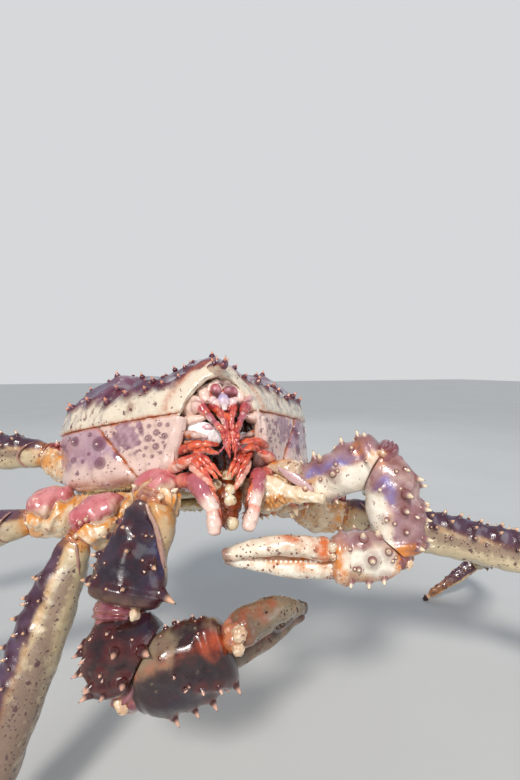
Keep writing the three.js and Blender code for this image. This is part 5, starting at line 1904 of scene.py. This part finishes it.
def palps(side, label):
    """The red palps beside the mouth: two crossing it, one at its corner, and four that hang"""
    near = 11 * INWARD[side]
    parts = [
        face_part(
            [(31, -66, 25), (22, -76, 28), (14, -80, 28.4), (7, -81, 27)],
            [2.8, 3.3, 3.0, 2.3, 1.4], side, 1.2,
            pale=[0.1, 0, 0.1], flush=[0.7, 0.6, 0.8], creases=3, under=0.45,
        ),
        face_part(
            [(22, -76, 23.5), (15, -81, 24), (8, -83, 21)], [2, 2.4, 2, 1], side,
            pale=[0, 0.3], flush=[0.5, 0.8], creases=2, under=0.45,
        ),
        face_part(
            [(36, -62, 14), (29, -75, 17.5), (22, -79, 20.5)], [3.6, 4.2, 3.8, 2.6], side, 1.2,
            pale=[0.7, 0.4, 0.1], flush=[0.3, 0.5, 0.4], creases=2, under=0.6,
        ),
    ]
    for x, z, size, pale in HANGING_PALPS:
        parts.append(face_part(
            [(x - near, -78, z), (x - 6 - near, -83, z - 7), (x - 13 - near, -86, z - 17)],
            [size, size * 1.15, size, size * 0.45], side, 1.0, 20, 50,
            pale=[pale, pale, pale + 0.2], flush=[0.4, 0.5, 0.7], creases=2, under=0.45,
        ))
    face_piece(f"{label}_palps", "mouthparts", "mouth skin", parts, [f"{label}_small_mouthpart"])


def outer_mouthparts(side, label):
    """The long outer mouthpart with its white bulb, and the bristles along its inner branch"""
    near, bent = 3.5 * INWARD[side], 6.5 * INWARD[side]
    thigh = face_part(
        [(25, -64, 3), (23.5 - near, -77, 4.5), (20 - near, -84, -2), (15 - near, -89.5, -13)],
        [5.2, 6.1, 6.1, 5.6, 4.8], side, 0.95, 32, 70,
        pale=[0.25, 0.1, 0.12, 0.3, 1.0], flush=[0.2, 0.1, 0.0], blue=[0.4, 0.6, 0.9, 0.8, 0.0],
        edge=(90 * side, 0.9),
    )
    bulb = face_part(
        [(15 - near, -90.5, -14.5), (15.6 - near - bent, -93, -26)],
        [4.1, 4.5, 4.7, 3.9], side, 1.0, 30, 40,
        pale=[0.7, 1.0, 1.0, 1.0], flush=[0.4, 0.1, 0.0, 0.0], stain=[0.5, 0.2, 0.0], edge=(90 * side, 0.8),
    )
    root = face_part(
        [(31, -56, 4), (29, -70, 6), (25, -77, 5)], [4.6, 5.6, 5.2, 4], side,
        pale=[0.5, 0.5, 0.3], flush=[0.2, 0.3, 0.4], blue=[0.3, 0.4], creases=2,
    )
    inner = face_part(
        [(19 - near, -84, 4), (13 - near, -89, -8), (10.5 - near, -90, -22)], [1.6, 2.2, 2.0, 1.2], side,
        pale=[0.3, 0.5, 0.3], flush=[0.9, 0.6, 0.9], halo=[0.4, 0.2, 0.5],
    )
    parts = [thigh, bulb, root, inner]
    face_piece(f"{label}_outer_mouthpart", "mouthparts", "mouth skin", parts, [f"{label}_large_mouthpart"])
    random = np.random.default_rng(40 + side)
    hairs = []
    for _ in range(MOUTH_BRISTLES):
        at = inner[0].path.at(random.uniform(0, 1)) + random.normal(size=3) * 0.8
        out = turned((-side, -0.2, -0.9) + random.normal(size=3) * 0.3)
        hairs.append((at, out, random.uniform(4, 8), 0.5))
    beard = Piece(f"{label}_mouth_bristles", "mouth hollow", "mouthparts")
    mesh, tip = spines_mesh(hairs, 4, 5)
    beard.add(mesh, flush=1 - 0.6 * tip, pale=0.4 * tip)
    beard.finished()


for side, label in SIDES:
    for make in (eye, antennae, antennules, mandibles, palps, outer_mouthparts):
        make(side, label)

# %% [markdown]
# ## The hollow and what shows in it
# Behind the mouthparts the face is a hollow, coloured near black as painted shade, and paler at its brow
# and its floor. In front of it stand a white and blue boss between the eyes, a veil of skin under the
# gable, red beads, and cream bulbs before the red floor of the mouth. The hollow is a flattened ball, and
# the others are rods like the parts beside them, made once because they lie in the middle.

# %% The middle of the face
HOLLOW_MIDDLE, HOLLOW_TALL = 25, 47
BEADS = ((-8.2, 53, 1.8), (5.8, 53, 1.8), (-2.3, 48.8, 2.0), (-4.4, 50.5, 1.5), (2.6, 50.5, 1.5))
BULBS = (
    (-0.6, -80, -3, 4.2), (-1.5, -81.5, -9.5, 4.8), (-2, -85, -23.5, 4.6), (-4.5, -79, -14.5, 2.6),
    (2.5, -78, -15, 2.8), (-8, -76, 1, 3.6), (7, -76, 2, 3.6), (0, -74, 5, 4.4),
)


def face_hollow():
    """The back of the mouth, narrower below, with a lumpy surface"""
    wall, _, _ = ball(90, 70)
    local = points_of(wall)
    y, z = local[:, 1], HOLLOW_MIDDLE + local[:, 2] * HOLLOW_TALL
    x = FACE_MIDDLE / 2 + local[:, 0] * (31 - 13 * step(12, -20, z))
    lumps = ripple(local * 30, 9, 5) + 0.6 * ripple(local * 30, 4, 6)
    points = np.stack([x, FACE_REAR - 2 + 4 * y + 1.2 * lumps, z], -1)
    brow = step(44, 52, z)
    floor = step(8, -2, z)
    # the hollow's near-black colour is painted shade; its brow and floor are paler
    piece = Piece("face_hollow", "mouth hollow", "mouthparts")
    piece.add(
        wall, placed(points), pale=np.clip(0.9 * brow + 0.75 * floor, 0, 1), stain=0.5 + 0.2 * lumps,
        flush=0.25 * step(0, 1, lumps) * (1 - brow),
    )
    piece.finished()


def face_boss():
    """The boss between the eyes with what flanks it, the veil above it, and the red beads below"""
    boss = face_part(
        [(-0.6, -74, 62), (-0.4, -78, 57.5), (-0.2, -78.5, 51)], [2.4, 3.4, 3.0, 1.6], 1, 1.15,
        pale=[1.0, 0.0, 0.4, 1.0], blue=[0.0, 1.0, 0.6, 0.0],
    )
    crown = face_part(
        [(-9, -64, 70), (0, -71, 71), (9, -64, 70)], [2.2, 2.4, 2.4, 2.2], 1,
        pale=[0.6, 0.4, 0.6], blue=[0.2, 0.2, 0.2], flush=[0.3, 0.3],
    )
    flanks = [
        face_part(
            [(9, -72, 59), (6.4, -75.5, 57), (3.4, -77, 53)], [2.4, 3.4, 3.0, 2], side, 1.2,
            pale=[0.2, 0.5, 0.4], flush=[0.4, 0.2, 0.4], creases=2,
        )
        for side, _ in SIDES
    ]
    veil = face_part(
        [
            (-21, -65, 48), (-16.5, -67, 58), (-9.5, -69, 67), (0, -70, 71),
            (9, -69, 67), (15.5, -67, 58), (19.5, -65, 48),
        ],
        [3, 4.2, 3.8, 2.6, 3.8, 4.2, 3], 1, 1.0, 24, 120,
        pale=[0.5, 0.7, 0.3, 0.7, 0.5], flush=[0.3, 0.1, 0.3], stain=[0.4, 0.4],
    )
    face_piece("face_boss", "mouthparts", "face boss", [boss, crown, *flanks, veil])
    beads = [
        face_part(
            [(x, -73, z + 1), (x, -79.5, z)], [size, size * 1.15, size * 0.8], 1,
            pale=[0.1, 0.1], flush=[0.2, 0.1],
        )
        for x, z, size in BEADS
    ]
    face_piece("face_beads", "mouthparts", "mouth skin", beads)


def mouth_floor():
    """The cream bulbs, and the red ridged floor behind them"""
    bulbs = [
        face_part(
            [(x, -64, z + 2), (x, y, z)], [size, size * 1.05, size * 0.9], 1,
            pale=[1, 1], flush=[0.1, 0.15], stain=[0.5, 0.3],
        )
        for x, y, z, size in BULBS
    ]
    face_piece("mouth_bulbs", "mouthparts", "belly shell", bulbs)
    behind = face_part(
        [(0, -62, 4), (-1, -73, -8), (-2.5, -79, -24)], [10, 10, 8, 4.5], 1, 1.1, 40, 60,
        pale=[0.3, 0.2, 0.35], flush=[0.5, 0.8, 0.9], stain=[0.5, 0.8], creases=5,
    )
    face_piece("mouth_floor", "mouthparts", "mouth hollow", [behind])


face_hollow()
face_boss()
mouth_floor()
print("triangles in all:", sum(TALLY), "pieces:", len(TALLY), "largest:", max(TALLY))

# %% [markdown]
# ## Floor
# A pale studio floor and an even pale surround keep the eye on the animal.

# %% Floor and surround
def make_floor():
    bm = bmesh.new()
    bmesh.ops.create_grid(bm, x_segments=2, y_segments=2, size=8)
    floor = put_in("floor", as_mesh("floor", bm))
    material, graph, shader = new_material("floor")
    place = graph.node("ShaderNodeTexCoord").outputs["Object"]
    colour = graph.mix(graph.noise(place, 3.0), tint("bcbcba"), tint("c8c8c5"))
    graph.feed(shader, {"Base Color": colour, "Roughness": 0.7})
    floor.data.materials.append(material)


def make_surround():
    """An even surround that the camera sees, a little lighter than the one that lights the crab"""
    world = bpy.data.worlds.new("surround")
    world.use_nodes = True
    graph = Graph(world.node_tree)
    seen = graph.node("ShaderNodeLightPath").outputs["Is Camera Ray"]
    colour = graph.mix(seen, tint("98a2b0"), tint("d6d8da"))
    graph.feed(world.node_tree.nodes["Background"].inputs, {"Color": colour})
    bpy.context.scene.world = world


make_floor()
make_surround()

# %% The end
BALLS.clear()
